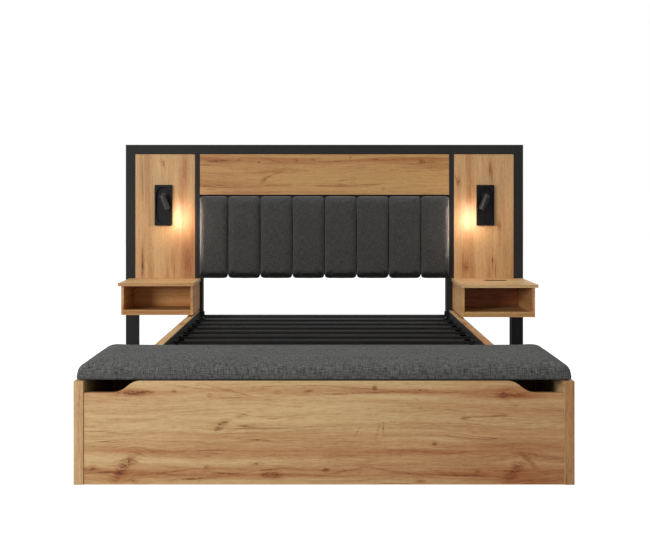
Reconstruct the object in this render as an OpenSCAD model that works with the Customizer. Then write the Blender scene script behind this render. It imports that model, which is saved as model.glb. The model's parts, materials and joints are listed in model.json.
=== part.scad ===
// Double bed with a wide panelled headboard, two hanging nightstands,
// two reading lamps and a blanket chest as its footboard.
// X runs across the bed, Y from the foot to the head, Z up from the floor.
// The origin lies on the floor, under the middle of the bed.

/* [Whole bed] */
// Width across the headboard
bed_w = 2605; // [2500:5:2700]
// Length from the chest front to the headboard back
bed_l = 2556; // [2500:2:2700]
// Height of the headboard
bed_h = 1386; // [1360:2:1440]
// Height of the round glides under posts and chest
glide_h = 2; // [2:1:8]

/* [Headboard] */
// Width of a post and height of the top rail
post_w = 74; // [70:1:80]
// Depth of the posts and the top rail
post_d = 76; // [72:1:90]
// Half the clear width between the inner posts
post_gap = 801; // [785:1:803]
// Thickness of the headboard panels
panel_t = 18; // [16:1:20]
// How far the panel faces lie behind the post faces
panel_sink = 2; // [1:0.5:4]
// Half the width of the centre panel
centre_half = 817; // [810:1:820]
// Inner edge of a side panel, from the middle of the bed
side_in = 849; // [846:1:852]
// Outer edge of a side panel, from the middle of the bed
side_out = 1240; // [1236:1:1244]
// Upper edge of all panels
panel_top = 1324; // [1318:1:1330]
// Lower edge of the centre panel
centre_low = 1059; // [1055:1:1080]
// Lower edge of the side panels
side_low = 300; // [295:1:305]

/* [Channel pads] */
// Upper edge of the pads
pad_top = 1049; // [1040:1:1052]
// Lower edge of the pads
pad_low = 512; // [480:1:540]
// Width of the two outermost pads
pad_end_w = 187; // [180:1:200]
// Thickness of a pad at its crown
pad_t = 45; // [35:1:55]
// Gap between neighbouring pads
pad_gap = 1.6; // [1:0.2:4]

/* [Reading lamps] */
// Width of a lamp base
lamp_w = 114; // [110:1:120]
// Height of a lamp base
lamp_h = 266; // [262:1:280]
// Thickness of a lamp base
lamp_t = 22; // [22:1:26]
// Distance of the lamp axis from the middle of the bed
lamp_x = 1053; // [1040:1:1070]
// Height of the swivel axis
lamp_z = 1050; // [1000:1:1080]
// Width of the round-ended recess
recess_w = 94; // [90:1:96]
// Length of the round-ended recess
recess_h = 238; // [200:1:244]
// Depth of the recess
recess_t = 15; // [14:1:16]
// Radius of the head tube
tube_r = 21; // [19:0.5:22]
// Length of the head tube in front of the swivel axis
tube_front = 92; // [80:1:100]
// Angle of the head from straight down, towards the bed
head_pan = 20; // [0:1:40]

/* [Nightstands] */
// Width of a nightstand body
stand_w = 446; // [440:1:448]
// Height of the upper face
stand_top = 511; // [505:1:520]
// Height of the lower face
stand_low = 311; // [308:1:320]
// Inner side of the left body, from the middle of the bed
stand_in_left = 816; // [816:1:830]
// Inner side of the right body, from the middle of the bed
stand_in_right = 839; // [816:1:840]
// Depth of the left body
stand_d_left = 295; // [280:1:400]
// Depth of the right body
stand_d_right = 388; // [280:1:400]
// Thickness of sides and back
stand_t = 16; // [15:1:19]
// Thickness of the top board
stand_top_t = 19; // [16:1:22]
// Thickness of the floor board
stand_floor_t = 22; // [18:1:24]
// Height of the front lip, from the lower face
stand_lip_h = 32; // [28:1:40]
// Length of the round-ended charging insert
insert_l = 150; // [140:1:160]
// Width of the charging insert
insert_w = 62; // [55:1:70]

/* [Bed frame] */
// Height of the rail tops
rail_top = 300; // [296:1:304]
// Height of a rail board
rail_h = 180; // [160:1:200]
// Thickness of a rail board
rail_t = 40; // [36:1:42]
// Half the clear width between the rails
rail_in = 817; // [812:1:820]
// Height of the slat tops
slat_top = 266; // [262:1:268]
// Width of a slat
slat_w = 78; // [70:1:84]
// Thickness of a slat
slat_t = 18; // [16:1:20]
// Number of slats
slat_count = 12; // [10:1:13]
// Distance of the end slats from headboard and chest
slat_end = 147; // [130:1:150]

/* [Blanket chest] */
// Width across the chest sides
chest_w = 1822; // [1780:2:1860]
// Depth of the chest
chest_d = 445; // [430:1:470]
// Height of the chest without its lid
chest_h = 379; // [375:1:385]
// Thickness of the chest sides
chest_side_t = 36; // [28:1:38]
// Thickness of front, back and floor
chest_t = 18; // [16:1:19]
// How far the front lies behind the edges of the sides
front_sink = 3; // [1:0.5:6]
// Depth of a hand notch
notch_h = 43; // [30:1:48]
// Level length of a hand notch
notch_flat = 100; // [95:1:130]
// Length of the curve that closes a hand notch
notch_curve = 113; // [75:1:120]

/* [Lid] */
// Width of the upholstered lid
lid_w = 1810; // [1760:2:1812]
// Thickness of the upholstered lid at its crown
lid_t = 67; // [60:1:80]
// Thickness of the lid board
lid_board_t = 16; // [15:1:19]
// Gap between chest and lid, which the bumpers fill
lid_gap = 2.5; // [2.5:0.1:3]
// Number of hinges
hinge_count = 3; // [2:1:4]
// Length of a hinge
hinge_l = 100; // [80:5:120]

/* [Hidden] */
$fn = 64;

oak = "burlywood";
oak_edge = "tan";
frame_black = "dimgray";
steel_black = "darkslategray";
cloth = "slategray";
plastic_black = "black";
zinc = "silver";

// Left and right as seen from the foot end
LEFT = -1;
RIGHT = 1;

foot_y = -bed_l / 2;
back_y = bed_l / 2;
head_y = back_y - post_d;
chest_back_y = foot_y + chest_d;

// Rebate in posts and top rail that takes the panels
rebate_y = head_y + panel_sink + panel_t;
panel_y = head_y + panel_sink;
post_outer_x = bed_w / 2 - post_w;
rear_rail_t = 40;
rear_rail_h = 80;

// Places of the glides in from the corner of what they carry
glide_r = 12;
chest_glide_in = 40;

function ring_corner(i, w, h, r) =
    [(i == 0 || i == 3 ? 1 : -1) * (w / 2 - r), (i < 2 ? 1 : -1) * (h / 2 - r)];

// Outline of a rectangle with round corners, of 4 * (n + 1) points
function ring(w, h, r, n) = [
    for (i = [0:3])
        for (k = [0:n])
            ring_corner(i, w, h, r) + r * [cos(90 * (i + k / n)), sin(90 * (i + k / n))]
];

// Closed skin over a stack of rings, each given as [width, height, radius, level]
module skin(rings, n) {
    m = 4 * (n + 1);
    top = (len(rings) - 1) * m;
    points = [
        for (s = rings)
            for (p = ring(s[0], s[1], s[2], n))
                [p[0], p[1], s[3]]
    ];
    low_cap = [for (k = [1:m - 2]) [0, k, k + 1]];
    high_cap = [for (k = [1:m - 2]) [top, top + k + 1, top + k]];
    wall_a = [
        for (j = [0:len(rings) - 2])
            for (k = [0:m - 1])
                [j * m + k, (j + 1) * m + k, (j + 1) * m + (k + 1) % m]
    ];
    wall_b = [
        for (j = [0:len(rings) - 2])
            for (k = [0:m - 1])
                [j * m + k, (j + 1) * m + (k + 1) % m, j * m + (k + 1) % m]
    ];
    polyhedron(points, concat(low_cap, high_cap, wall_a, wall_b));
}

// Box between two opposite corners
module block(low, high) {
    translate(low) cube(high - low);
}

// What is drawn for the right side, on the side that is asked for
module on_side(side) {
    if (side == LEFT)
        mirror([1, 0, 0]) children();
    else
        children();
}

module rounded_plate(w, h, r) {
    square([w - 2 * r, h], center = true);
    square([w, h - 2 * r], center = true);
    for (x = [-1, 1])
        for (y = [-1, 1])
            translate([x * (w / 2 - r), y * (h / 2 - r)]) circle(r);
}

// ---------------------------------------------------------------- headboard

module post_outer(side) {
    color(frame_black) on_side(side) difference() {
        block([post_outer_x, head_y, glide_h], [bed_w / 2, back_y, bed_h]);
        block([post_outer_x - 1, head_y - 1, side_low], [side_out, rebate_y, panel_top]);
    }
}

module post_inner(side) {
    color(frame_black) on_side(side) difference() {
        block([post_gap, head_y, glide_h], [post_gap + post_w, back_y, bed_h - post_w]);
        block([side_in, head_y - 1, side_low], [post_gap + post_w + 1, rebate_y, bed_h]);
        block([post_gap - 1, head_y - 1, pad_low + 4], [centre_half, rebate_y, bed_h]);
    }
}

module top_rail() {
    color(frame_black) difference() {
        block([-post_outer_x, head_y, bed_h - post_w], [post_outer_x, back_y, bed_h]);
        block([-centre_half, head_y - 1, bed_h - post_w - 1], [centre_half, rebate_y, panel_top]);
        for (side = [LEFT, RIGHT])
            on_side(side)
                block([side_in, head_y - 1, bed_h - post_w - 1],
                      [post_outer_x + 1, rebate_y, panel_top]);
    }
}

// Two rails behind the pads: one at the seam to the centre panel, one at the lower edge
module pad_cross_rails() {
    color(frame_black)
        for (z = [centre_low - rear_rail_h / 2, pad_low + 8])
            block([-post_gap, rebate_y, z], [post_gap, rebate_y + rear_rail_t, z + rear_rail_h]);
}

module lower_rail() {
    color(frame_black) difference() {
        block([-post_gap, head_y, lower_rail_top - rear_rail_h],
              [post_gap, head_y + rear_rail_t, lower_rail_top]);
        for (side = [LEFT, RIGHT]) on_side(side) bracket_bolt_shanks();
    }
}

// Rails between the posts, behind the lower edge of each side panel
module bay_rails() {
    color(frame_black) for (side = [LEFT, RIGHT])
        on_side(side) block(
            [post_gap + post_w, rebate_y, side_low + 20],
            [post_outer_x, rebate_y + rear_rail_t, side_low + 20 + rear_rail_h]);
}

module pad_backing_board() {
    color(frame_black) block(
        [-centre_half, panel_y, pad_low + 4], [centre_half, rebate_y, pad_top - 1]);
}

module centre_panel() {
    color(oak) block([-centre_half, panel_y, centre_low], [centre_half, rebate_y, panel_top]);
}

module side_panel(side) {
    color(oak) on_side(side) block(
        [side_in, panel_y, side_low], [side_out, rebate_y, panel_top]);
}

// ---------------------------------------------------------------- channel pads

pad_count = 8;
pad_mid_w = (2 * centre_half - 2 * pad_end_w) / (pad_count - 2);
pad_belly = 12;
pad_tuck = 4;
pad_corner_r = 22;
pad_corner_steps = 5;
pad_crown_steps = [0, 15, 30, 45, 60, 75, 87];
// Fullness of the crown: 1 is an ellipse, less is flatter with rounder edges
pad_fullness = 0.66;

function pad_edge(i) =
    i == 0 ? -centre_half :
    i == pad_count ? centre_half :
    -centre_half + pad_end_w + (i - 1) * pad_mid_w;

function pad_ring(w, h, inset, level, roundness) = [
    w - 2 * inset,
    h - 2 * inset,
    max(pad_corner_r * 0.6, roundness * 0.96 * (w / 2 - inset)),
    level
];

module channel_pad(i) {
    w = pad_edge(i) - pad_edge(i - 1) - pad_gap;
    h = pad_top - pad_low;
    start = pad_corner_r / (w / 2);
    rings = concat(
        [pad_ring(w, h, pad_tuck, 0, start)],
        [for (a = pad_crown_steps)
            pad_ring(w, h, w / 2 * (1 - pow(cos(a), pad_fullness)),
                     pad_belly + (pad_t - pad_belly) * pow(sin(a), pad_fullness),
                     start + (1 - start) * a / 90)]);
    color(cloth)
        translate([(pad_edge(i) + pad_edge(i - 1)) / 2, panel_y, (pad_top + pad_low) / 2])
            rotate([90, 0, 0]) skin(rings, pad_corner_steps);
}

// ---------------------------------------------------------------- glides

module floor_glides() {
    color(plastic_black) for (side = [LEFT, RIGHT]) on_side(side) {
        for (x = [post_gap + post_w / 2, bed_w / 2 - post_w / 2])
            translate([x, head_y + post_d / 2, 0]) cylinder(h = glide_h, r = glide_r);
        for (y = [foot_y + chest_glide_in, chest_back_y - chest_glide_in])
            translate([chest_w / 2 - chest_side_t / 2, y, 0]) cylinder(h = glide_h, r = glide_r);
    }
}

// ---------------------------------------------------------------- reading lamps

lamp_back_y = panel_y;
lamp_face_y = lamp_back_y - lamp_t;
recess_floor_y = lamp_face_y + recess_t;
lamp_mid_z = 990;
lamp_corner_r = 6;
// The tilt pin lies in front of the base, so the head clears it at every angle
tilt_out = 6;
tilt_y = lamp_face_y - tilt_out;
tube_out = 30;
tube_rear = 14;
tube_wall = 2;
spigot_r = 8;
run_gap = 0.05;
disc_r = 20;
disc_t = 4;
disc_lift = 0.3;
fork_w = 20;
tongue_w = 9;
tongue_play = 0.3;
eye_r = 7;
pin_r = 2.5;
lens_t = 3;
lens_in = 4;
hollow_l = 30;

module along_x(length, r) {
    rotate([0, 90, 0]) cylinder(h = length, r = r, center = true);
}

module along_y(low, high, r) {
    translate([0, high, 0]) rotate([90, 0, 0]) cylinder(h = high - low, r = r);
}

// Frame of the lamp head: the swivel axis is the Y axis, and the tube points down
module at_lamp(side) {
    on_side(side) translate([lamp_x, 0, lamp_z]) rotate([0, head_pan, 0]) children();
}

module lamp_base(side) {
    color(frame_black) on_side(side) difference() {
        translate([lamp_x, lamp_back_y, lamp_mid_z]) rotate([90, 0, 0])
            linear_extrude(lamp_t) rounded_plate(lamp_w, lamp_h, lamp_corner_r);
        translate([lamp_x, recess_floor_y, lamp_mid_z]) rotate([90, 0, 0])
            linear_extrude(recess_t + 1) rounded_plate(recess_w, recess_h, recess_w / 2 - 0.01);
        translate([lamp_x, 0, lamp_z])
            along_y(recess_floor_y - 1, lamp_back_y + 1, spigot_r + run_gap);
    }
}

// Turning foot: spigot, disc and a fork that holds the tilt pin
module lamp_swivel(side) {
    color(frame_black) at_lamp(side) difference() {
        union() {
            along_y(recess_floor_y - disc_lift, lamp_back_y - 1, spigot_r);
            along_y(recess_floor_y - disc_lift - disc_t, recess_floor_y - disc_lift, disc_r);
            block([-fork_w / 2, tilt_y, -eye_r],
                  [fork_w / 2, recess_floor_y - disc_lift - disc_t, eye_r]);
            translate([0, tilt_y, 0]) along_x(fork_w, eye_r);
        }
        block([-tongue_w / 2 - tongue_play, tilt_y - eye_r - 1, -eye_r - 1],
              [tongue_w / 2 + tongue_play, tilt_y + eye_r + 1, eye_r + 1]);
        translate([0, tilt_y, 0]) along_x(fork_w + 2, pin_r);
    }
}

module lamp_tilt_pin(side) {
    color(zinc) at_lamp(side) translate([0, tilt_y, 0]) along_x(fork_w, pin_r);
}

// Tube with a domed rear end, hollow at its mouth, and a tongue for the pin
module lamp_head(side) {
    dome_z = tube_rear - tube_r;
    color(frame_black) at_lamp(side) difference() {
        union() {
            translate([0, tilt_y - tube_out, 0]) {
                translate([0, 0, -tube_front]) cylinder(h = tube_front + dome_z, r = tube_r);
                translate([0, 0, dome_z]) sphere(tube_r);
            }
            block([-tongue_w / 2, tilt_y - tube_out, -eye_r], [tongue_w / 2, tilt_y, eye_r]);
            translate([0, tilt_y, 0]) along_x(tongue_w, eye_r);
        }
        translate([0, tilt_y - tube_out, -tube_front - 1])
            cylinder(h = hollow_l + 1, r = tube_r - tube_wall);
        translate([0, tilt_y, 0]) along_x(tongue_w + 2, pin_r + run_gap);
    }
}

module lamp_lens(side) {
    color("lightyellow") at_lamp(side)
        translate([0, tilt_y - tube_out, -tube_front + lens_in])
            cylinder(h = lens_t, r = tube_r - tube_wall);
}

// ---------------------------------------------------------------- nightstands

top_over_front = 18;
top_over_out = 16;
top_over_in = 6;
insert_x = 1092;
insert_y = 134;
insert_flange = 9;
insert_flange_t = 2.5;
insert_deep = 26;

function stand_in(side) = side == LEFT ? stand_in_left : stand_in_right;
function stand_d(side) = side == LEFT ? stand_d_left : stand_d_right;
function stand_out(side) = stand_in(side) + stand_w;
function stand_front(side) = head_y - stand_d(side);

module at_insert() {
    translate([insert_x, head_y - insert_y, stand_top]) children();
}

module insert_outline(less) {
    rounded_plate(insert_l - less, insert_w - less, (insert_w - less) / 2 - 0.01);
}

module nightstand_top(side) {
    color(oak) difference() {
        on_side(side) block(
            [stand_in(side) - top_over_in, stand_front(side) - top_over_front,
             stand_top - stand_top_t],
            [stand_out(side) + top_over_out, head_y, stand_top]);
        if (side == RIGHT) at_insert() {
            translate([0, 0, -stand_top_t - 1])
                linear_extrude(stand_top_t + 2) insert_outline(2 * insert_flange);
            translate([0, 0, -insert_flange_t])
                linear_extrude(insert_flange_t + 1) insert_outline(0);
        }
    }
}

module nightstand_sides(side) {
    color(oak) on_side(side)
        for (x = [stand_in(side), stand_out(side) - stand_t])
            block([x, stand_front(side), stand_low],
                  [x + stand_t, head_y, stand_top - stand_top_t]);
}

module nightstand_floor(side) {
    lip_t = 18;
    color(oak) on_side(side) {
        block([stand_in(side) + stand_t, stand_front(side), stand_low],
              [stand_out(side) - stand_t, head_y - stand_t, stand_low + stand_floor_t]);
        block([stand_in(side) + stand_t, stand_front(side), stand_low],
              [stand_out(side) - stand_t, stand_front(side) + lip_t, stand_low + stand_lip_h]);
    }
}

module nightstand_back(side) {
    color(oak) on_side(side) block(
        [stand_in(side) + stand_t, head_y - stand_t, stand_low],
        [stand_out(side) - stand_t, head_y, stand_top - stand_top_t]);
}

// Round-ended charging insert let into the top of the right nightstand
module charging_insert() {
    pad_in = 14;
    pad_deep = 1;
    color(plastic_black) at_insert() difference() {
        union() {
            translate([0, 0, -insert_flange_t])
                linear_extrude(insert_flange_t) insert_outline(0);
            translate([0, 0, -insert_deep])
                linear_extrude(insert_deep - insert_flange_t) insert_outline(2 * insert_flange);
        }
        translate([0, 0, -pad_deep])
            linear_extrude(pad_deep + 1) insert_outline(pad_in);
    }
}

// ---------------------------------------------------------------- bed frame

lower_rail_top = 268;
ledge_t = 3;
ledge_w = 34;
cap_t = 2.5;
cap_l = 50;
cap_in = 5;
ledge_low = slat_top - slat_t - cap_t - ledge_t;
ledge_top = rail_top - 6;
ledge_gap = 45;
beam_w = 50;
beam_h = 40;
beam_wall = 2;
leg_r = 16;
leg_flange = 70;
leg_flange_t = 4;
leg_foot_r = 24;
leg_foot_h = 10;
leg_share = [1 / 3, 2 / 3];
slat_half = rail_in - ledge_t - cap_in;
slat_pitch = (head_y - chest_back_y - 2 * slat_end) / (slat_count - 1);
slat_y = [for (i = [0:slat_count - 1]) head_y - slat_end - i * slat_pitch];

bracket_w = 32;
bracket_t = 3;
bracket_low = 150;
bracket_high = 296;
bolt_r = 3;
bolt_head_r = 5.8;
bolt_head_h = 4;
washer_r = 6.5;
washer_t = 1.6;
bolt_l = 30;
chest_bolt_l = 15;
bolt_z = [206, 250];
bolt_in = 24;

module side_rail(side) {
    color(oak) on_side(side) difference() {
        block([rail_in, chest_back_y, rail_top - rail_h], [rail_in + rail_t, head_y, rail_top]);
        bracket_bolt_shanks();
    }
}

// Steel angle along each rail that carries the slats
module slat_ledges() {
    color(steel_black) for (side = [LEFT, RIGHT]) on_side(side) {
        block([rail_in - ledge_t, chest_back_y + ledge_gap, ledge_low],
              [rail_in, head_y - ledge_gap, ledge_top]);
        block([rail_in - ledge_w, chest_back_y + ledge_gap, ledge_low],
              [rail_in - ledge_t, head_y - ledge_gap, ledge_low + ledge_t]);
    }
}

module centre_beam() {
    beam_top = slat_top - slat_t;
    color(steel_black) difference() {
        block([-beam_w / 2, chest_back_y, beam_top - beam_h], [beam_w / 2, head_y, beam_top]);
        block([-beam_w / 2 + beam_wall, chest_back_y - 1, beam_top - beam_h + beam_wall],
              [beam_w / 2 - beam_wall, head_y + 1, beam_top - beam_wall]);
    }
}

module centre_legs() {
    leg_top = slat_top - slat_t - beam_h;
    color(steel_black) for (share = leg_share)
        translate([0, chest_back_y + share * (head_y - chest_back_y), 0]) {
            cylinder(h = leg_foot_h, r = leg_foot_r);
            cylinder(h = leg_top, r = leg_r);
            translate([-leg_flange / 2, -leg_flange / 2, leg_top - leg_flange_t])
                cube([leg_flange, leg_flange, leg_flange_t]);
        }
}

// Each slat is thinner at its ends, where its sleeves sit flush with its upper face
module slats() {
    open_half = slat_half + cap_in - cap_l;
    color(steel_black) for (y = slat_y) {
        block([-slat_half, y - slat_w / 2, slat_top - slat_t],
              [slat_half, y + slat_w / 2, slat_top - cap_t]);
        block([-open_half, y - slat_w / 2, slat_top - cap_t],
              [open_half, y + slat_w / 2, slat_top]);
    }
}

// Sleeve over each slat end
module slat_end_caps() {
    color(plastic_black) for (side = [LEFT, RIGHT]) on_side(side)
        for (y = slat_y) difference() {
            block([slat_half + cap_in - cap_l, y - slat_w / 2 - cap_t, slat_top - slat_t - cap_t],
                  [slat_half + cap_in, y + slat_w / 2 + cap_t, slat_top]);
            block([slat_half + cap_in - cap_l - 1, y - slat_w / 2, slat_top - slat_t],
                  [slat_half, y + slat_w / 2, slat_top - cap_t]);
        }
}

// One corner of rail and end board; turned it serves both ends
module bracket_place(at_head) {
    if (at_head)
        translate([rail_in, head_y, 0]) children();
    else
        translate([rail_in, chest_back_y, 0]) mirror([0, 1, 0]) children();
}

// Bolts into the rail, then bolts into the end board
module rail_bolt_places() {
    for (z = bolt_z)
        translate([-bracket_t, -bolt_in, z]) rotate([0, 90, 0]) children();
}

module end_bolt_places() {
    for (z = bolt_z)
        translate([-bolt_in, -bracket_t, z]) rotate([-90, 0, 0]) children();
}

module bracket_bolt_shanks() {
    for (at_head = [true, false]) bracket_place(at_head) {
        rail_bolt_places() cylinder(h = bolt_l + bracket_t, r = bolt_r);
        end_bolt_places()
            cylinder(h = (at_head ? bolt_l : chest_bolt_l) + bracket_t, r = bolt_r);
    }
}

module rail_brackets() {
    color(steel_black) for (side = [LEFT, RIGHT]) on_side(side)
        for (at_head = [true, false]) difference() {
            bracket_place(at_head) {
                block([-bracket_t, -bracket_w, bracket_low], [0, 0, bracket_high]);
                block([-bracket_w, -bracket_t, bracket_low], [0, 0, bracket_high]);
            }
            bracket_bolt_shanks();
        }
}

module bolt(length) {
    cylinder(h = length, r = bolt_r);
    translate([0, 0, -washer_t]) cylinder(h = washer_t, r = washer_r);
    translate([0, 0, -washer_t - bolt_head_h]) cylinder(h = bolt_head_h, r = bolt_head_r, $fn = 6);
}

module rail_bolts() {
    color(zinc) for (side = [LEFT, RIGHT]) on_side(side)
        for (at_head = [true, false]) bracket_place(at_head) {
            rail_bolt_places() bolt(bolt_l + bracket_t);
            end_bolt_places() bolt((at_head ? bolt_l : chest_bolt_l) + bracket_t);
        }
}

// ---------------------------------------------------------------- blanket chest

chest_in = chest_w / 2 - chest_side_t;
front_y = foot_y + front_sink;
chest_floor_z = 40;
chest_floor_t = 16;
// Two equal arcs join the notch floor to a level just above the top edge. They are
// grown a little, so that they cross each other, the floor and the edge at crisp corners.
notch_lift = 0.6;
notch_rise = notch_h + notch_lift;
notch_r = (notch_curve * notch_curve + notch_rise * notch_rise) / (4 * notch_rise);
notch_bite = 0.08;
notch_lap = 6;

module chest_side(side) {
    color(oak) on_side(side)
        block([chest_in, foot_y, glide_h], [chest_w / 2, chest_back_y, chest_h]);
}

// Open shape of a hand notch, from the chest side inwards, above its level floor
module notch_outline() {
    over = 10;
    square([notch_flat, notch_h + over]);
    translate([notch_flat, 0]) intersection() {
        translate([0, notch_r]) circle(notch_r + notch_bite, $fn = 128);
        square([notch_curve / 2 + notch_lap, notch_h + over]);
    }
    translate([notch_flat + notch_curve / 2, 0]) difference() {
        square([notch_curve / 2, notch_h + over]);
        translate([notch_curve / 2, notch_rise - notch_r])
            circle(notch_r + notch_bite, $fn = 128);
    }
}

module chest_front() {
    color(oak) translate([0, front_y + chest_t, 0]) rotate([90, 0, 0])
        linear_extrude(chest_t) difference() {
            translate([-chest_in, glide_h]) square([2 * chest_in, chest_h - glide_h]);
            for (side = [LEFT, RIGHT])
                mirror([side == LEFT ? 1 : 0, 0]) translate([chest_in, chest_h - notch_h])
                    mirror([1, 0]) notch_outline();
        }
}

module chest_back() {
    color(oak) difference() {
        block([-chest_in, chest_back_y - chest_t, glide_h], [chest_in, chest_back_y, chest_h]);
        for (side = [LEFT, RIGHT]) on_side(side) bracket_bolt_shanks();
    }
}

module chest_floor() {
    color(oak) block(
        [-chest_in, front_y + chest_t, chest_floor_z],
        [chest_in, chest_back_y - chest_t, chest_floor_z + chest_floor_t]);
}

// ---------------------------------------------------------------- lid and hinges

lid_low = chest_h + lid_gap;
lid_front_in = 2;
lid_back_in = 1;
lid_l = chest_d - lid_front_in - lid_back_in;
lid_mid_y = (foot_y + lid_front_in + chest_back_y - lid_back_in) / 2;
board_in = 8;
lid_edge_r = 30;

hinge_r = 6;
hinge_leaf_t = 2;
hinge_y = chest_back_y + hinge_r + 0.6;
hinge_z = lid_low - hinge_leaf_t / 2;
hinge_leaf_l = 38;
hinge_reach = 650;
knuckles = 5;
knuckle_gap = 0.3;
hinge_x = [
    for (i = [0:hinge_count - 1]) -hinge_reach + i * 2 * hinge_reach / (hinge_count - 1)
];
bumper_r = 5;
bumper_in = 60;
bumper_side = 7;

// Outline of the padding seen along one of its edges, of width w
module lid_outline(w) {
    translate([-w / 2, 0]) square([w, lid_t - lid_edge_r]);
    translate([lid_edge_r - w / 2, 0]) square([w - 2 * lid_edge_r, lid_t]);
    for (x = [lid_edge_r - w / 2, w / 2 - lid_edge_r])
        translate([x, lid_t - lid_edge_r]) circle(r = lid_edge_r);
}

module lid_board_solid() {
    translate([board_in - lid_w / 2, lid_mid_y + board_in - lid_l / 2, lid_low])
        cube([lid_w - 2 * board_in, lid_l - 2 * board_in, lid_board_t]);
}

module lid_board() {
    color(oak_edge) lid_board_solid();
}

// Padding with rounded upper edges, drawn down over the edges of its board
module lid_cushion() {
    color(cloth) difference() {
        intersection() {
            translate([-lid_w / 2, lid_mid_y, lid_low]) rotate([90, 0, 90])
                linear_extrude(lid_w) lid_outline(lid_l);
            translate([0, lid_mid_y + lid_l / 2, lid_low]) rotate([90, 0, 0])
                linear_extrude(lid_l) lid_outline(lid_w);
        }
        lid_board_solid();
    }
}

// Start and length of knuckle k, along the hinge
function knuckle_pitch() = hinge_l / knuckles;

module knuckle_row(first) {
    for (k = [first:2:knuckles - 1])
        translate([-hinge_l / 2 + k * knuckle_pitch() + knuckle_gap / 2, 0, 0])
            rotate([0, 90, 0]) cylinder(h = knuckle_pitch() - knuckle_gap, r = hinge_r);
}

module knuckle_tabs(first, low, high) {
    for (k = [first:2:knuckles - 1]) {
        x = -hinge_l / 2 + k * knuckle_pitch() + knuckle_gap / 2;
        block([x, low[0], low[1]], [x + knuckle_pitch() - knuckle_gap, high[0], high[1]]);
    }
}

// Upright leaf on the rear face of the chest, with three knuckles
module hinge_chest_leaves() {
    face = chest_back_y - hinge_y;
    color(steel_black) for (x = hinge_x) translate([x, hinge_y, hinge_z]) difference() {
        union() {
            block([-hinge_l / 2, face, -hinge_leaf_l - hinge_r],
                  [hinge_l / 2, face + hinge_leaf_t, -hinge_r - 0.6]);
            knuckle_tabs(0, [face, -hinge_r - 1], [face + hinge_leaf_t, 0]);
            knuckle_row(0);
        }
        rotate([0, 90, 0]) cylinder(h = hinge_l + 2, r = pin_r, center = true);
    }
}

// Level leaf under the lid board, with two knuckles
module hinge_lid_leaves() {
    color(steel_black) for (x = hinge_x) translate([x, hinge_y, hinge_z]) difference() {
        union() {
            block([-hinge_l / 2, -hinge_leaf_l - hinge_r, -hinge_leaf_t / 2],
                  [hinge_l / 2, -hinge_r - 0.6, hinge_leaf_t / 2]);
            knuckle_tabs(1, [-hinge_r - 1, -hinge_leaf_t / 2], [-pin_r - 1, hinge_leaf_t / 2]);
            knuckle_row(1);
        }
        rotate([0, 90, 0]) cylinder(h = hinge_l + 2, r = pin_r + run_gap, center = true);
    }
}

module hinge_pins() {
    color(zinc) for (x = hinge_x)
        translate([x, hinge_y, hinge_z]) rotate([0, 90, 0])
            cylinder(h = hinge_l, r = pin_r, center = true);
}

module lid_bumpers() {
    color(plastic_black) for (side = [LEFT, RIGHT]) on_side(side)
        for (y = [foot_y + bumper_in, chest_back_y - bumper_in])
            translate([chest_in + bumper_side, y, chest_h])
                cylinder(h = lid_gap, r = bumper_r);
}

// ---------------------------------------------------------------- nodes

post_outer(LEFT);  // post_outer_left
post_outer(RIGHT);  // post_outer_right
post_inner(LEFT);  // post_inner_left
post_inner(RIGHT);  // post_inner_right
top_rail();
pad_cross_rails();
lower_rail();
bay_rails();
pad_backing_board();
centre_panel();
side_panel(LEFT);  // side_panel_left
side_panel(RIGHT);  // side_panel_right
channel_pad(1);  // channel_pad_1
channel_pad(2);  // channel_pad_2
channel_pad(3);  // channel_pad_3
channel_pad(4);  // channel_pad_4
channel_pad(5);  // channel_pad_5
channel_pad(6);  // channel_pad_6
channel_pad(7);  // channel_pad_7
channel_pad(8);  // channel_pad_8
floor_glides();
lamp_base(LEFT);  // lamp_base_left
lamp_swivel(LEFT);  // lamp_swivel_left
lamp_tilt_pin(LEFT);  // lamp_tilt_pin_left
lamp_head(LEFT);  // lamp_head_left
lamp_lens(LEFT);  // lamp_lens_left
lamp_base(RIGHT);  // lamp_base_right
lamp_swivel(RIGHT);  // lamp_swivel_right
lamp_tilt_pin(RIGHT);  // lamp_tilt_pin_right
lamp_head(RIGHT);  // lamp_head_right
lamp_lens(RIGHT);  // lamp_lens_right
nightstand_top(LEFT);  // nightstand_top_left
nightstand_sides(LEFT);  // nightstand_sides_left
nightstand_floor(LEFT);  // nightstand_floor_left
nightstand_back(LEFT);  // nightstand_back_left
nightstand_top(RIGHT);  // nightstand_top_right
nightstand_sides(RIGHT);  // nightstand_sides_right
nightstand_floor(RIGHT);  // nightstand_floor_right
nightstand_back(RIGHT);  // nightstand_back_right
charging_insert();
side_rail(LEFT);  // side_rail_left
side_rail(RIGHT);  // side_rail_right
slat_ledges();
centre_beam();
centre_legs();
slats();
slat_end_caps();
rail_brackets();
rail_bolts();
chest_side(LEFT);  // chest_side_left
chest_side(RIGHT);  // chest_side_right
chest_front();
chest_back();
chest_floor();
lid_board();
lid_cushion();
hinge_chest_leaves();
hinge_lid_leaves();
hinge_pins();
lid_bumpers();
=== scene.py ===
"""Double bed whose footboard is a blanket chest: its finishes, upholstery and fastenings,
the light and the camera."""
import json
import math

import bmesh
import bpy
from mathutils import Matrix, Vector

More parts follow.
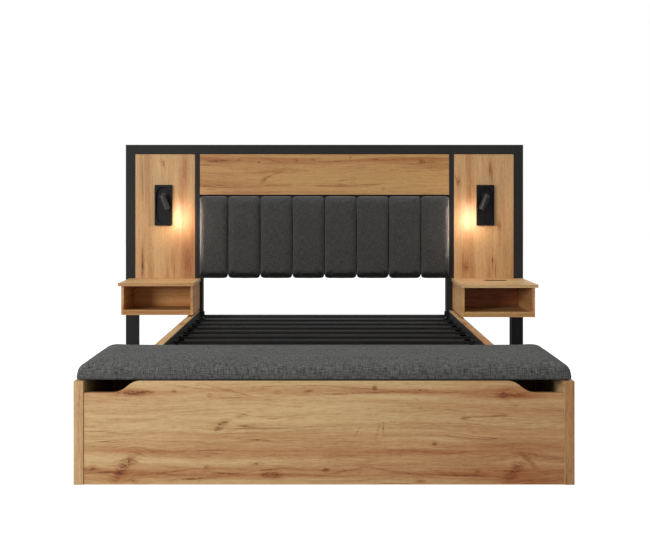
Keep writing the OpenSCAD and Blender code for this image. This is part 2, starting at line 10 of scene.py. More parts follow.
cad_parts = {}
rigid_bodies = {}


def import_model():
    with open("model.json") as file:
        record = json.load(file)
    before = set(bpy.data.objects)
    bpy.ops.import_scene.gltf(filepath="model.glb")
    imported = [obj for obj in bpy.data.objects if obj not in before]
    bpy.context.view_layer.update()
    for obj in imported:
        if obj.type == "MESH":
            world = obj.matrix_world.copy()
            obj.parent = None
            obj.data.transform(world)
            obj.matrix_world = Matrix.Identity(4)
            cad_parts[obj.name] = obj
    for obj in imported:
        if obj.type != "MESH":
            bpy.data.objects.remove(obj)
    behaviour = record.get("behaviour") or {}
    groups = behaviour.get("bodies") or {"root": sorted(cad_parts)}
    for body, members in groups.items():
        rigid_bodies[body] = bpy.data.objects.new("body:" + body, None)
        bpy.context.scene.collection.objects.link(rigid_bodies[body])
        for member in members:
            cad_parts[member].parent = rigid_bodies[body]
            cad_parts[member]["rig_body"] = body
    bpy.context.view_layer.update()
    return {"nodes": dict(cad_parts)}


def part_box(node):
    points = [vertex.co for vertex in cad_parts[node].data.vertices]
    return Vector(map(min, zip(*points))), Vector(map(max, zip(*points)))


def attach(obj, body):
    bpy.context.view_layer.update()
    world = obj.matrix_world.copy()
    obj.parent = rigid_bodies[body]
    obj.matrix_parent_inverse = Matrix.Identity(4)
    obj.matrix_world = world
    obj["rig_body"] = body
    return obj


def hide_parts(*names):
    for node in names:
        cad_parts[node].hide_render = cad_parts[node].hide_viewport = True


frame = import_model()
cad_nodes = frame["nodes"]
scene = bpy.context.scene


# ------------------------ small helpers

def paint(red, green, blue):
    """A display colour, 0 to 255 a channel, as the linear colour that a shader takes."""
    def linear(level):
        share = level / 255
        return share / 12.92 if share <= 0.04045 else ((share + 0.055) / 1.055) ** 2.4
    return (linear(red), linear(green), linear(blue), 1.0)


def turned(x=0, y=0, z=0):
    return (math.radians(x), math.radians(y), math.radians(z))


def tune(thing, **settings):
    for name, value in settings.items():
        setattr(thing, name, value)
    return thing


def stand(name, data):
    """A new object in the scene."""
    thing = bpy.data.objects.new(name, data)
    scene.collection.objects.link(thing)
    return thing


def both(stem):
    return [stem + "_left", stem + "_right"]


class Net:
    """The net of one shader or geometry tree: places its nodes and joins them."""

    def __init__(self, tree):
        self.tree = tree

    def feed(self, socket, value):
        if isinstance(value, bpy.types.NodeSocket):
            self.tree.links.new(value, socket)
        else:
            socket.default_value = value

    def add(self, kind, feeds=None, **settings):
        node = tune(self.tree.nodes.new(kind), **settings)
        for key, value in (feeds or {}).items():
            self.feed(node.inputs[key], value)
        return node

    def math(self, operation, *values, clamp=False):
        return self.add("ShaderNodeMath", dict(enumerate(values)), operation=operation,
                        use_clamp=clamp).outputs[0]

    def times(self, first, second, clamp=False):
        return self.math("MULTIPLY", first, second, clamp=clamp)

    def scaled(self, value, factor, offset, clamp=False):
        return self.math("MULTIPLY_ADD", value, factor, offset, clamp=clamp)

    def total(self, values):
        result = values[0]
        for value in values[1:]:
            result = self.math("ADD", result, value)
        return result

    def vectors(self, operation, first, second):
        return self.add(
            "ShaderNodeVectorMath", {0: first, 1: second}, operation=operation).outputs

    def dot(self, first, second):
        return self.vectors("DOT_PRODUCT", first, second)["Value"]

    def split(self, vector):
        return self.add("ShaderNodeSeparateXYZ", {0: vector}).outputs

    def join(self, x, y, z):
        return self.add("ShaderNodeCombineXYZ", {0: x, 1: y, 2: z}).outputs[0]

    def noise(self, place, grain, detail=2.0, roughness=0.5):
        """Noise whose grain is finer, the larger the factors along X, Y and Z."""
        return self.add("ShaderNodeTexNoise", {
            "Vector": self.vectors("MULTIPLY", place, grain)[0], "Scale": 1.0,
            "Detail": detail, "Roughness": roughness}).outputs[0]

    def rise(self, value, low, high):
        """0 below low, 1 above high, and smooth between."""
        return self.add("ShaderNodeMapRange", {
            "Value": value, "From Min": low, "From Max": high},
            interpolation_type="SMOOTHSTEP").outputs[0]

    def ramp(self, value, stops):
        node = self.add("ShaderNodeValToRGB", {0: value})
        elements = node.color_ramp.elements
        elements[0].position, elements[0].color = stops[0]
        elements[1].position, elements[1].color = stops[-1]
        for place, colour in stops[1:-1]:
            elements.new(place).color = colour
        return node.outputs[0]

    def mix(self, share, first, second, blend="MIX"):
        return self.add("ShaderNodeMix", {0: share, 6: first, 7: second},
                        data_type="RGBA", blend_type=blend).outputs[2]

    def choose(self, share, first, second):
        """The first vector at share 0, the second at share 1."""
        return self.add("ShaderNodeMix", {0: share, 4: first, 5: second},
                        data_type="VECTOR").outputs[1]

    def use(self, name, feeds):
        return self.add(
            "ShaderNodeGroup", feeds, node_tree=bpy.data.node_groups[name]).outputs

    def roughen(self, shader, height, distance, strength):
        """A fine relief on a shader's surface."""
        bump = self.add("ShaderNodeBump", {
            "Height": height, "Distance": distance, "Strength": strength})
        self.feed(shader["Normal"], bump.outputs[0])

    def plant(self, out, points, shape, finish, **turn):
        """Ends a geometry tree: the shape on each point, as solids of one finish."""
        placed = self.add("GeometryNodeInstanceOnPoints", {
            "Points": points, "Instance": shape, **turn}).outputs[0]
        solid = self.add("GeometryNodeRealizeInstances", {"Geometry": placed}).outputs[0]
        self.feed(out["Geometry"], self.add("GeometryNodeSetMaterial", {
            "Geometry": solid, "Material": finish}).outputs[0])
        return self.tree


def socket_kind(start):
    """The kind of socket for a starting value; one without a value goes by its kind's name."""
    if isinstance(start, str):
        return "NodeSocket" + start
    if isinstance(start, tuple):
        return "NodeSocketVector" if len(start) == 3 else "NodeSocketColor"
    return "NodeSocketInt" if isinstance(start, int) else "NodeSocketFloat"


def new_group(name, takes, gives, kind="ShaderNodeTree"):
    """A node group with named inputs and outputs: its net, and the sockets inside it."""
    tree = bpy.data.node_groups.new(name, kind)
    for label, start in takes.items():
        socket = tree.interface.new_socket(
            label, in_out="INPUT", socket_type=socket_kind(start))
        if not isinstance(start, str):
            socket.default_value = start
    for label, given_kind in gives.items():
        tree.interface.new_socket(
            label, in_out="OUTPUT", socket_type=socket_kind(given_kind))
    net = Net(tree)
    return net, net.add("NodeGroupInput").outputs, net.add("NodeGroupOutput").inputs


def new_shape_tree(name, takes):
    """A geometry tree with named inputs, the last of which is its finish."""
    return new_group(
        name, {"Geometry": "Geometry", **takes, "Finish": "Material"},
        {"Geometry": "Geometry"}, "GeometryNodeTree")


SHEET_GIVES = {"Color": "Color", "Height": "Float", "Roughness": "Float"}


def new_material(name, **constants):
    """A material with a Principled shader; constants go on the shader's own sockets."""
    material = bpy.data.materials.new(name)
    material.use_nodes = True
    net = Net(material.node_tree)
    shader = material.node_tree.nodes["Principled BSDF"]
    for label, value in constants.items():
        shader.inputs[label.replace("_", " ")].default_value = value
    return material, net, shader.inputs


# ------------------------ oak decor

# Marks of the decor sheet, in millimetres from the middle of its upper edge:
# x, z, half length, half height, tilt in degrees, bend, blot, and ring where there is one.
BOARD_MARKS = [
    (-712, -44, 60, 10, -3, 0.5, 1), (-648, -40, 30, 5, 0, 0.3, 0.9),
    (-545, -37, 13, 5, 0, 0.7, 0.9), (-500, -22, 90, 4, -6, 0.2, 0.6),
    (-416, -53, 9, 7, 0, 0.6, 0.1, 0.3), (-330, -38, 110, 4, -14, 0.2, 0.6),
    (-171, -40, 13, 7, 0, 0.8, 1), (-60, -36, 14, 6, 0, 0.8, 0.9),
    (-378, -165, 34, 11, 42, 0.6, 0.9), (-318, -133, 60, 6, 22, 0.3, 0.55),
    (-300, -172, 70, 5, 12, 0.3, 0.35), (-250, -213, 130, 3, -5, 0.2, 0.5),
    (-710, -297, 40, 20, 42, 0.8, 0.9), (-745, -335, 40, 16, 60, 0.5, 0.8),
    (-846, -317, 22, 9, 0, 0.7, 0.8), (-820, -334, 100, 3, 3, 0.1, 0.8),
    (-553, -330, 120, 3, 7, 0.1, 0.65), (-425, -312, 11, 6, 0, 0.8, 0.9),
    (-367, -335, 70, 4, -6, 0.1, 0.75), (-247, -302, 17, 6, 8, 0.7, 0.9),
    (-190, -342, 34, 11, 0, 0.6, 0.7, 0.2), (-199, -322, 90, 3, 7, 0.1, 0.6),
    (7, -326, 15, 8, 0, 0.8, 1), (-477, -356, 90, 4, 4, 0.2, 0.9),
    (-687, -366, 26, 9, 0, 0.6, 0.8), (184, -24, 8, 8, 0, 0.8, 0.5, 0.3),
    (349, -33, 26, 5, 0, 0.6, 0.8), (90, -46, 190, 4, 2, 0.1, 0.6), (650, -49, 18, 12, 0, 0.7, 1),
    (704, -50, 62, 9, 3, 0.4, 0.9), (119, -187, 15, 3, 55, 0.3, 0.7),
    (196, -180, 22, 3, 76, 0.3, 0.6), (215, -172, 24, 3, 88, 0.3, 0.8),
    (352, -99, 9, 3, 60, 0.2, 0.5), (403, -228, 7, 7, 0, 0.6, 0.1, 0.3),
    (72, -328, 100, 4, 11, 0.1, 0.7), (266, -330, 120, 4, -9, 0.1, 0.65),
    (500, -344, 140, 4, -2, 0.1, 0.75), (694, -328, 50, 22, 46, 0.7, 0.9),
    (748, -292, 34, 8, -40, 0.5, 0.5, 0.2), (556, -330, 15, 9, 0, 0.7, 0.85),
    (349, -366, 20, 7, 0, 0.6, 0.9), (700, -90, 16, 5, 0, 0.6, 0.5),
]
# Broad reddish bands of the sheet, and pale ones of negative strength:
# x, z, half length, half height, strength.
BOARD_BANDS = [
    (-560, -254, 340, 13, 0.8), (-800, -250, 170, 16, 0.6), (-120, -257, 420, 15, 0.8),
    (190, -258, 330, 13, 0.45), (700, -240, 240, 24, 0.95), (430, -262, 160, 12, 0.4),
    (150, -304, 150, 8, 0.5), (-760, -336, 260, 24, 0.95), (-250, -334, 420, 20, 0.85),
    (430, -334, 560, 22, 1), (740, -352, 260, 32, 1), (-780, -362, 240, 14, 0.9),
    (780, -366, 160, 14, 0.8), (360, -364, 420, 10, 0.5), (700, -38, 190, 30, 1),
    (-40, -108, 330, 30, -0.9), (-330, -88, 200, 20, -0.6), (150, -176, 260, 14, -0.5),
    (-560, -292, 300, 9, -0.5), (-250, -40, 300, 18, 0.7), (-700, -40, 170, 20, 0.85),
    (330, -38, 240, 12, 0.6), (650, -54, 200, 12, 0.6),
]
# The board over the pads is cut from the upper part of the same sheet.
PANEL_DEPTH = 275
PANEL_MARKS = [mark for mark in BOARD_MARKS if mark[1] > -PANEL_DEPTH]
PANEL_BANDS = [
    (-560, -254, 340, 13, 0.8), (-120, -250, 420, 15, 0.5), (-700, -44, 170, 28, 1),
    (-250, -44, 300, 28, 1), (330, -38, 240, 12, 0.6), (700, -34, 180, 14, 0.2),
    (-440, -88, 300, 24, 0.4), (60, -136, 320, 26, -0.7), (150, -180, 300, 22, -0.8),
]
# Marks of the upright boards beside the lamps, whose sheet runs down them: x is the height
# over the board's top, z the way from the lamp's middle line to the left.
UPRIGHT_LEFT_MARKS = [
    (-97, -139, 80, 9, 0, 0.4, 0.6), (-64, 1, 20, 8, 0, 0.6, 0.9), (-48, 12, 6, 18, 0, 0.3, 0.7),
    (-254, 136, 44, 5, 0, 0.3, 0.6), (-700, 138, 90, 7, 0, 0.3, 1),
    (-760, 142, 50, 9, 0, 0.3, 0.6), (-713, -159, 95, 22, 0, 0.3, 0.5),
    (-684, -54, 62, 9, 0, 0.4, 0.5), (-134, 142, 90, 4, 0, 0.2, 0.5),
]
UPRIGHT_RIGHT_MARKS = [
    (-96, -32, 48, 11, 0, 0.4, 1), (-150, -46, 60, 4, 0, 0.2, 0.8), (-181, 175, 26, 14, 0, 0.6, 1),
    (-160, 190, 34, 5, 12, 0.3, 0.8), (-463, -93, 24, 12, 0, 0.5, 1),
    (-500, -52, 22, 3, 0, 0.1, 0.7), (-693, -49, 16, 8, 0, 0.6, 1),
    (-693, -49, 115, 3, 0, 0.1, 0.7), (-741, 121, 28, 15, 0, 0.6, 1),
    (-104, 50, 62, 3, 0, 0.1, 0.5), (-724, 145, 90, 6, 0, 0.2, 0.5),
]
UPRIGHT_LEFT_BANDS = [
    (-690, -150, 160, 40, 1), (-560, -185, 130, 14, 0.6), (-620, -80, 200, 28, 0.6),
    (-695, 140, 120, 14, 0.8), (-740, -60, 110, 12, 0.5), (-130, 146, 190, 14, 0.6),
    (-130, -140, 160, 26, 0.6), (-620, 40, 220, 40, -0.5), (-60, 40, 120, 40, -0.4),
]
UPRIGHT_RIGHT_BANDS = [
    (-735, 130, 110, 32, 0.9), (-200, 172, 110, 18, 0.7), (-500, -95, 200, 16, 0.6),
    (-250, 90, 100, 24, 0.5), (-745, -60, 80, 24, 0.7), (-100, -34, 90, 26, 0.5),
    (-560, 20, 180, 30, -0.4), (-180, -130, 240, 40, -0.5),
]
SIDEWAYS_REACH = 2.0
EDGE_SHIFT = (0.37, 0.11, -0.52)
OAK_PORE_DEPTH = 0.0004
# A mark fades from its middle; it pushes the grain aside more widely than it darkens it.
PUSH_FADE, PUSH, DARK_FADE, RING_FADE = -0.22, -0.6, -1.0, -9.0

OAK_TONES = [
    (0.0, paint(66, 38, 22)), (0.2, paint(114, 70, 40)), (0.4, paint(158, 113, 72)),
    (0.58, paint(186, 148, 102)), (0.76, paint(204, 171, 123)), (1.0, paint(219, 190, 143)),
]
REDDISH = paint(158, 102, 62)


def make_knot_group():
    """Adds one mark of the decor to those before it: the grain it bends aside, its darkness."""
    net, given, out = new_group(
        "oak_knot",
        {"Vector": (0, 0, 0), "Centre": (0, 0, 0), "Turn": (0, 0, 0), "Reach": (0.02, 1, 0.01),
         "Fibre": 0.5, "Bend weight": 0.0, "Blot weight": 0.0, "Ring weight": 0.0,
         "Bend before": 0.0, "Mark before": 0.0},
        {"Bend": "Float", "Mark": "Float"})
    local = net.add("ShaderNodeMapping", {
        "Vector": given["Vector"], "Location": given["Centre"], "Rotation": given["Turn"],
        "Scale": given["Reach"]}, vector_type="TEXTURE").outputs[0]
    square = net.dot(local, local)
    wide = net.math("EXPONENT", net.times(square, PUSH_FADE))
    offset = net.vectors("SUBTRACT", given["Vector"], given["Centre"])[0]
    pushed = net.times(net.times(wide, PUSH), net.dot(offset, (0, 0, 1)))
    net.feed(out["Bend"], net.scaled(pushed, given["Bend weight"], given["Bend before"]))
    near = net.math("EXPONENT", net.times(square, DARK_FADE))
    ragged = net.scaled(given["Fibre"], 3.2, -0.95, clamp=True)
    blotted = net.scaled(
        net.times(near, ragged), given["Blot weight"], given["Mark before"])
    distance = net.math(
        "ADD", net.math("SQRT", square), net.scaled(given["Fibre"], 0.5, -1.25))
    ringed = net.math("EXPONENT", net.times(net.times(distance, distance), RING_FADE))
    net.feed(out["Mark"], net.scaled(ringed, given["Ring weight"], blotted))


def make_oak_group(name, marks, bands, streaks=1.0):
    """A decor sheet: grain along X, across it Z, with its marks and bands."""
    net, given, out = new_group(name, {"Vector": (0, 0, 0)}, SHEET_GIVES)
    place = given["Vector"]
    fibre = net.noise(place, (75, 60, 270), detail=3, roughness=0.6)

    def laid(x, z, length, height):
        """Where on the sheet a mark lies, and how far it reaches."""
        return {"Vector": place, "Centre": (x / 1000, 0, z / 1000),
                "Reach": (length / 1000, SIDEWAYS_REACH, height / 1000)}

    marked = {"Bend": 0.0, "Mark": 0.0}
    for x, z, length, height, tilt, bend, blot, *ring in marks:
        marked = net.use("oak_knot", {
            **laid(x, z, length, height), "Turn": turned(y=-tilt), "Fibre": fibre,
            "Bend weight": bend, "Blot weight": blot, "Ring weight": ring[0] if ring else 0.0,
            "Bend before": marked["Bend"], "Mark before": marked["Mark"]})
    mark = net.math("MINIMUM", marked["Mark"], 1.0)
    banded = {"Mark": 0.0}
    for *size, strength in bands:
        banded = net.use("oak_knot", {
            **laid(*size), "Fibre": 0.5, "Blot weight": strength,
            "Mark before": banded["Mark"]})
    band = net.math("MINIMUM", banded["Mark"], 1.0)
    x, y, z = net.split(place)

    def centred(value, amount):
        return net.scaled(value, amount, -0.5 * amount)

    sway = net.noise(place, (1.5, 3, 6.5), detail=1)
    ripple = net.noise(place, (6, 20, 34), detail=2)
    across = net.total([z, centred(sway, 0.06), centred(ripple, 0.009), marked["Bend"]])
    flow = net.join(x, y, across)
    broad = net.noise(flow, (0.5, 9, 15), detail=1.5)
    streak = net.noise(flow, (2.6, 60, 80), detail=4, roughness=0.66)
    streak_weight = net.scaled(band, 0.55 * streaks, 0.6 * streaks)
    fleck = net.noise(flow, (55, 60, 170), detail=3, roughness=0.7)
    thread = net.noise(flow, (14, 200, 300), detail=3, roughness=0.65)
    vein_field = net.noise(flow, (0.75, 16, 27), detail=2)
    vein = net.math("SUBTRACT", 1.0, net.rise(
        net.math("ABSOLUTE", net.math("SUBTRACT", vein_field, 0.5)), 0.002, 0.014))
    vein_patch = net.rise(net.noise(flow, (2.2, 5, 9), detail=2), 0.46, 0.6)
    pore = net.rise(net.noise(flow, (34, 160, 420), detail=1), 0.62, 0.76)
    level = net.total([
        0.70, centred(broad, 0.5), centred(thread, 0.62 * streaks), centred(fleck, 0.3),
        net.times(centred(streak, 1.0), streak_weight),
        net.times(net.times(vein, vein_patch), -0.3 * streaks),
        net.times(pore, -0.22), net.times(mark, -0.68), net.times(band, -0.24)])
    colour = net.ramp(level, OAK_TONES)
    blush = net.scaled(net.rise(broad, 0.5, 0.36), 0.3, band, clamp=True)
    net.feed(out["Color"], net.mix(
        net.times(blush, 0.8), colour,
        net.mix(0.75, REDDISH, colour, blend="SOFT_LIGHT")))
    net.feed(out["Height"], net.noise(place, (20, 200, 520), detail=2, roughness=0.65))
    net.feed(out["Roughness"], net.scaled(streak, 0.22, 0.40))


def oak_material(name, turn=(0, 0, 0), shift=(0, 0, 0), sheet="oak_board_sheet",
                 tone=(1, 1, 1), edge=None):
    """Oak decor. turn and shift lay the sheet on the board, and tone warms or deepens its
    print, and on some boards darkens it as painted shade; edge is (axis, turn, tone) of a face
    whose band runs another way."""
    material, net, shader = new_material(name, Specular_IOR_Level=0.35)
    coordinate = net.add("ShaderNodeTexCoord").outputs
    place = net.add("ShaderNodeMapping", {
        "Vector": coordinate["Object"], "Rotation": turn, "Location": shift}).outputs[0]
    cast = (*tone, 1)
    if edge:
        axis, edge_turn, edge_tone = edge
        along = net.add("ShaderNodeMapping", {
            "Vector": coordinate["Object"], "Rotation": edge_turn,
            "Location": EDGE_SHIFT}).outputs[0]
        facing = net.math("ABSOLUTE", net.split(coordinate["Normal"])[axis])
        on_edge = net.math("GREATER_THAN", facing, 0.7)
        place = net.choose(on_edge, place, along)
        cast = net.mix(on_edge, cast, (*edge_tone, 1))
    decor = net.use(sheet, {"Vector": place})
    net.feed(shader["Base Color"], net.mix(1.0, decor["Color"], cast, "MULTIPLY"))
    net.feed(shader["Roughness"], decor["Roughness"])
    net.roughen(shader, decor["Height"], OAK_PORE_DEPTH, 0.35)
    return material


make_knot_group()
make_oak_group("oak_board_sheet", BOARD_MARKS, BOARD_BANDS)
make_oak_group("oak_panel_sheet", PANEL_MARKS, PANEL_BANDS)
make_oak_group("oak_plain_sheet", [], [])
make_oak_group("oak_upright_left_sheet", UPRIGHT_LEFT_MARKS, UPRIGHT_LEFT_BANDS, 0.6)
make_oak_group("oak_upright_right_sheet", UPRIGHT_RIGHT_MARKS, UPRIGHT_RIGHT_BANDS, 0.6)

ALONG_Y = turned(z=-90)
UPRIGHT = turned(y=90)
LYING = turned(x=90)
LAMP_LINE = 1.053

CHEST_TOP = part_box("chest_front")[1].z
PANEL_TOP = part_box("centre_panel")[1].z


# ------------------------ other finishes

def make_speckle_group():
    """A fine even unevenness, as on lacquer, laminate and moulded plastic."""
    net, given, out = new_group(
        "fine_speckle",
        {"Vector": (0, 0, 0), "Dark": (0, 0, 0, 1), "Light": (1, 1, 1, 1),
         "Grain": (300, 300, 300), "Shine": 0.5}, SHEET_GIVES)
    cloud = net.noise(given["Vector"], (3, 3, 3), detail=3)
    grain = net.noise(given["Vector"], given["Grain"], detail=2, roughness=0.6)
    level = net.math("ADD", net.times(cloud, 0.45), net.times(grain, 0.55))
    net.feed(out["Color"], net.mix(
        net.rise(level, 0.3, 0.7), given["Dark"], given["Light"]))
    net.feed(out["Height"], grain)
    net.feed(out["Roughness"], net.math(
        "ADD", given["Shine"], net.scaled(cloud, 0.16, -0.08)))


def speckled_material(name, dark, light, grain, shine, depth, specular=0.5, metallic=0.0):
    material, net, shader = new_material(
        name, Specular_IOR_Level=specular, Metallic=metallic)
    speckle = net.use("fine_speckle", {
        "Vector": net.add("ShaderNodeTexCoord").outputs["Object"],
        "Dark": paint(*dark), "Light": paint(*light), "Grain": grain, "Shine": shine})
    net.feed(shader["Base Color"], speckle["Color"])
    net.feed(shader["Roughness"], speckle["Roughness"])
    net.roughen(shader, speckle["Height"], depth, 0.4)
    return material


YARN = 0.0011
YARN_RELIEF = 0.0005


def make_weave_group():
    """Plain weave of mixed yarns, laid on whichever plane a face is nearest to."""
    net, given, out = new_group(
        "melange_weave", {"Vector": (0, 0, 0), "Facing": (0, 0, 1), "Yarn": YARN},
        {"Level": "Float", "Height": "Float"})
    x, y, z = net.split(given["Vector"])
    facing_x, facing_y, facing_z = [
        net.math("ABSOLUTE", part) for part in net.split(given["Facing"])]
    end = net.math("GREATER_THAN", facing_x, net.math("MAXIMUM", facing_y, facing_z))
    top = net.math("GREATER_THAN", facing_z, net.math("MAXIMUM", facing_x, facing_y))
    plane = net.choose(
        top, net.choose(end, net.join(x, z, 0.0), net.join(y, z, 0.0)),
        net.join(x, y, 0.0))
    u, v, _ = net.split(plane)
    over = net.times(*[
        net.math("SINE", net.times(net.math("DIVIDE", part, given["Yarn"]), math.pi))
        for part in (u, v)])
    warp = net.noise(plane, (560, 60, 1), detail=2, roughness=0.6)
    weft = net.noise(plane, (60, 560, 1), detail=2, roughness=0.6)
    upright_yarn = net.noise(plane, (280, 30, 1), detail=1)
    level_yarn = net.noise(plane, (30, 280, 1), detail=1)
    slub = net.noise(plane, (70, 240, 1), detail=2, roughness=0.7)
    cloud = net.noise(plane, (7, 7, 1), detail=3)
    net.feed(out["Level"], net.total([
        net.times(warp, 0.75), net.times(weft, 0.75),
        net.times(upright_yarn, 1.3), net.times(level_yarn, 1.3),
        net.times(cloud, 0.3), net.times(slub, 0.5),
        net.times(over, 0.08), -1.97]))
    net.feed(out["Height"], net.math("ADD", net.times(over, 0.5), warp))


def fabric_material(name, dark, light, sheen, underside_painted_shade):
    """Mixed grey cover fabric, with painted shade on faces that look down; the last argument is
    the share of its colour left there.
    """
    material, net, shader = new_material(
        name, Roughness=0.92, Sheen_Weight=sheen, Sheen_Roughness=0.4,
        Specular_IOR_Level=0.15)
    coordinate = net.add("ShaderNodeTexCoord").outputs
    weave = net.use("melange_weave", {
        "Vector": coordinate["Object"], "Facing": coordinate["Normal"], "Yarn": YARN})
    level = net.times(weave["Level"], 1.0, clamp=True)
    colour = net.mix(level, paint(*dark), paint(*light))
    # Painted shade: the colour darkens on faces that look down.
    down = net.rise(net.dot(coordinate["Normal"], (0, 0, -1)), 0.0, 0.6)
    shaded = net.mix(down, (1, 1, 1, 1), (underside_painted_shade, underside_painted_shade, underside_painted_shade, 1))
    net.feed(shader["Base Color"], net.mix(1.0, colour, shaded, "MULTIPLY"))
    net.roughen(shader, weave["Height"], YARN_RELIEF, 0.5)
    return material


make_speckle_group()
make_weave_group()

black_board = speckled_material(
    "anthracite_laminate", (34, 34, 34), (44, 44, 43), (40, 40, 500), 0.6, 0.0002, 0.12)
black_board_level = speckled_material(
    "anthracite_laminate_level", (34, 34, 34), (44, 44, 43), (500, 40, 40), 0.6, 0.0002, 0.12)
black_slat = speckled_material(
    "black_slat_lacquer", (18, 18, 18), (30, 29, 28), (18, 420, 420), 0.7, 0.0002, 0.1)
black_steel = speckled_material(
    "powder_coat", (12, 12, 13), (22, 22, 24), (900, 900, 900), 0.55, 0.0003, 0.2)
lamp_black = speckled_material(
    "lamp_matt_black", (7, 7, 8), (13, 13, 14), (1200, 1200, 1200), 0.5, 0.0001, 0.16)
tube_black = speckled_material(
    "lamp_tube_black", (21, 21, 23), (31, 32, 34), (1200, 1200, 1200), 0.36, 0.0001, 0.42)
black_plastic = speckled_material(
    "moulded_plastic", (12, 12, 13), (24, 24, 26), (1500, 1500, 1500), 0.55, 0.0002, 0.2)
zinc = speckled_material(
    "zinc_plate", (150, 152, 156), (205, 206, 208), (260, 260, 260), 0.34, 0.0001, metallic=1.0)
core_board = speckled_material(
    "raw_board", (146, 112, 78), (192, 156, 116), (240, 240, 60), 0.8, 0.0004)
lining = speckled_material(
    "spun_lining", (26, 26, 28), (48, 48, 50), (700, 90, 700), 0.95, 0.0004)
# The last value of each fabric is the share of colour left on its downward faces: painted shade.
fabric_lid = fabric_material("grey_melange_lid", (48, 48, 49), (107, 108, 106), 0.02, 0.7)
fabric_pad = fabric_material("grey_melange_pads", (48, 48, 48), (76, 75, 73), 0.35, 0.08)


def lens_material():
    """Frosted window with a warm light behind it, its glow flecked by the frost."""
    material, net, shader = new_material(
        "warm_lens", Roughness=0.5, Emission_Strength=1.2)
    coordinate = net.add("ShaderNodeTexCoord").outputs["Object"]
    frost = net.noise(coordinate, (900, 900, 900), detail=2)
    glow = net.mix(frost, (1.0, 0.62, 0.30, 1), (1.0, 0.78, 0.48, 1))
    net.feed(shader["Base Color"], glow)
    net.feed(shader["Emission Color"], glow)
    return material


warm_lens = lens_material()


# ------------------------ pieces from CAD nodes

DOUBLE = 2e-6
FLAT_TURN = math.radians(0.5)
EDGE_TURN = math.radians(32)
AT_SIDE = 0.001
BOARD_EDGE = 0.0012
TUBE_EDGE = 0.0006


def body_of(node):
    return cad_nodes[node]["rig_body"]


def merged(node):
    """A node's surface with its doubled corners merged."""
    shape = bmesh.new()
    shape.from_mesh(cad_nodes[node].data)
    bmesh.ops.remove_doubles(shape, verts=shape.verts, dist=DOUBLE)
    return shape


def plain_mesh(node):
    """The same surface with its flat faces whole."""
    shape = merged(node)
    bmesh.ops.dissolve_limit(
        shape, angle_limit=FLAT_TURN, verts=shape.verts, edges=shape.edges)
    shape.verts.index_update()
    mesh = bpy.data.meshes.new(node)
    mesh.from_pydata(
        [vertex.co.copy() for vertex in shape.verts], [],
        [[vertex.index for vertex in face.verts] for face in shape.faces])
    shape.free()
    return mesh


def new_piece(name, mesh, material=None):
    piece = stand(name, mesh)
    if material:
        mesh.materials.append(material)
    return piece


def settle(piece):
    """Turns a piece with live modifiers into the plain mesh that they make."""
    graph = bpy.context.evaluated_depsgraph_get()
    result = bpy.data.meshes.new_from_object(
        piece.evaluated_get(graph), preserve_all_data_layers=True, depsgraph=graph)
    result.name = piece.name
    piece.modifiers.clear()
    piece.data = result
    return piece


def hand_over(piece, node, replaced=()):
    """The piece rides on the node's body, and stands for what it replaces."""
    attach(piece, body_of(node))
    if replaced:
        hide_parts(*replaced)


def draw_in(mesh, low, high, from_low, from_high):
    """Moves the outermost corners inwards, by one amount for each side of the box."""
    for vertex in mesh.vertices:
        for axis in range(3):
            if vertex.co[axis] < low[axis] + AT_SIDE:
                vertex.co[axis] += from_low[axis]
            elif vertex.co[axis] > high[axis] - AT_SIDE:
                vertex.co[axis] -= from_high[axis]


def dress(node, material, edge=0.0008, steps=2, from_low=(0, 0, 0), from_high=(0, 0, 0)):
    """A copy of a CAD node with softened edges and its own finish, which stands for it."""
    piece = new_piece(node + "_finished", plain_mesh(node), material)
    draw_in(piece.data, *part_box(node), from_low, from_high)
    piece.data.shade_smooth()
    tune(piece.modifiers.new("soft_edges", "BEVEL"), width=edge, segments=steps,
         limit_method="ANGLE", angle_limit=EDGE_TURN, harden_normals=True,
         use_clamp_overlap=True)
    hand_over(settle(piece), node, [node])


def coat(node, material):
    """Gives a CAD node that is shown as it is its finish."""
    for slot in cad_nodes[node].material_slots:
        slot.material = material


# Daylight shows in the gaps between the pads' lower corners, so nothing hangs behind them.
BOARD_LIFT = 0.018
CROSS_RAIL_LIFT = 0.012
for nodes, material, lift in (
        (both("post_outer") + both("post_inner"), black_board, 0),
        (["top_rail", "lower_rail", "bay_rails"], black_board_level, 0),
        (["pad_cross_rails"], black_board_level, CROSS_RAIL_LIFT),
        (["pad_backing_board"], black_board_level, BOARD_LIFT)):
    for node in nodes:
        dress(node, material, edge=BOARD_EDGE, from_low=(0, 0, lift))


def clad(nodes, name, **laid):
    """Boards of one oak finish; laid is how the sheet lies on them."""
    material = oak_material(name, **laid)
    for node in nodes:
        dress(node, material)


INSIDE_TONE = (1.0, 0.82, 0.64)
clad(["centre_panel"], "oak_centre_panel", shift=(0.015, 0, -PANEL_TOP),
     sheet="oak_panel_sheet", tone=(0.79, 0.67, 0.51))
for side, line, tone in (("left", -LAMP_LINE, (0.86, 0.77, 0.69)),
                         ("right", LAMP_LINE, (0.91, 0.82, 0.77))):
    clad(["side_panel_" + side], "oak_upright_" + side, turn=UPRIGHT,
         shift=(-PANEL_TOP, 0, line), sheet="oak_upright_%s_sheet" % side, tone=tone)
clad(["chest_front"], "oak_chest_front", shift=(0, 0, -CHEST_TOP))
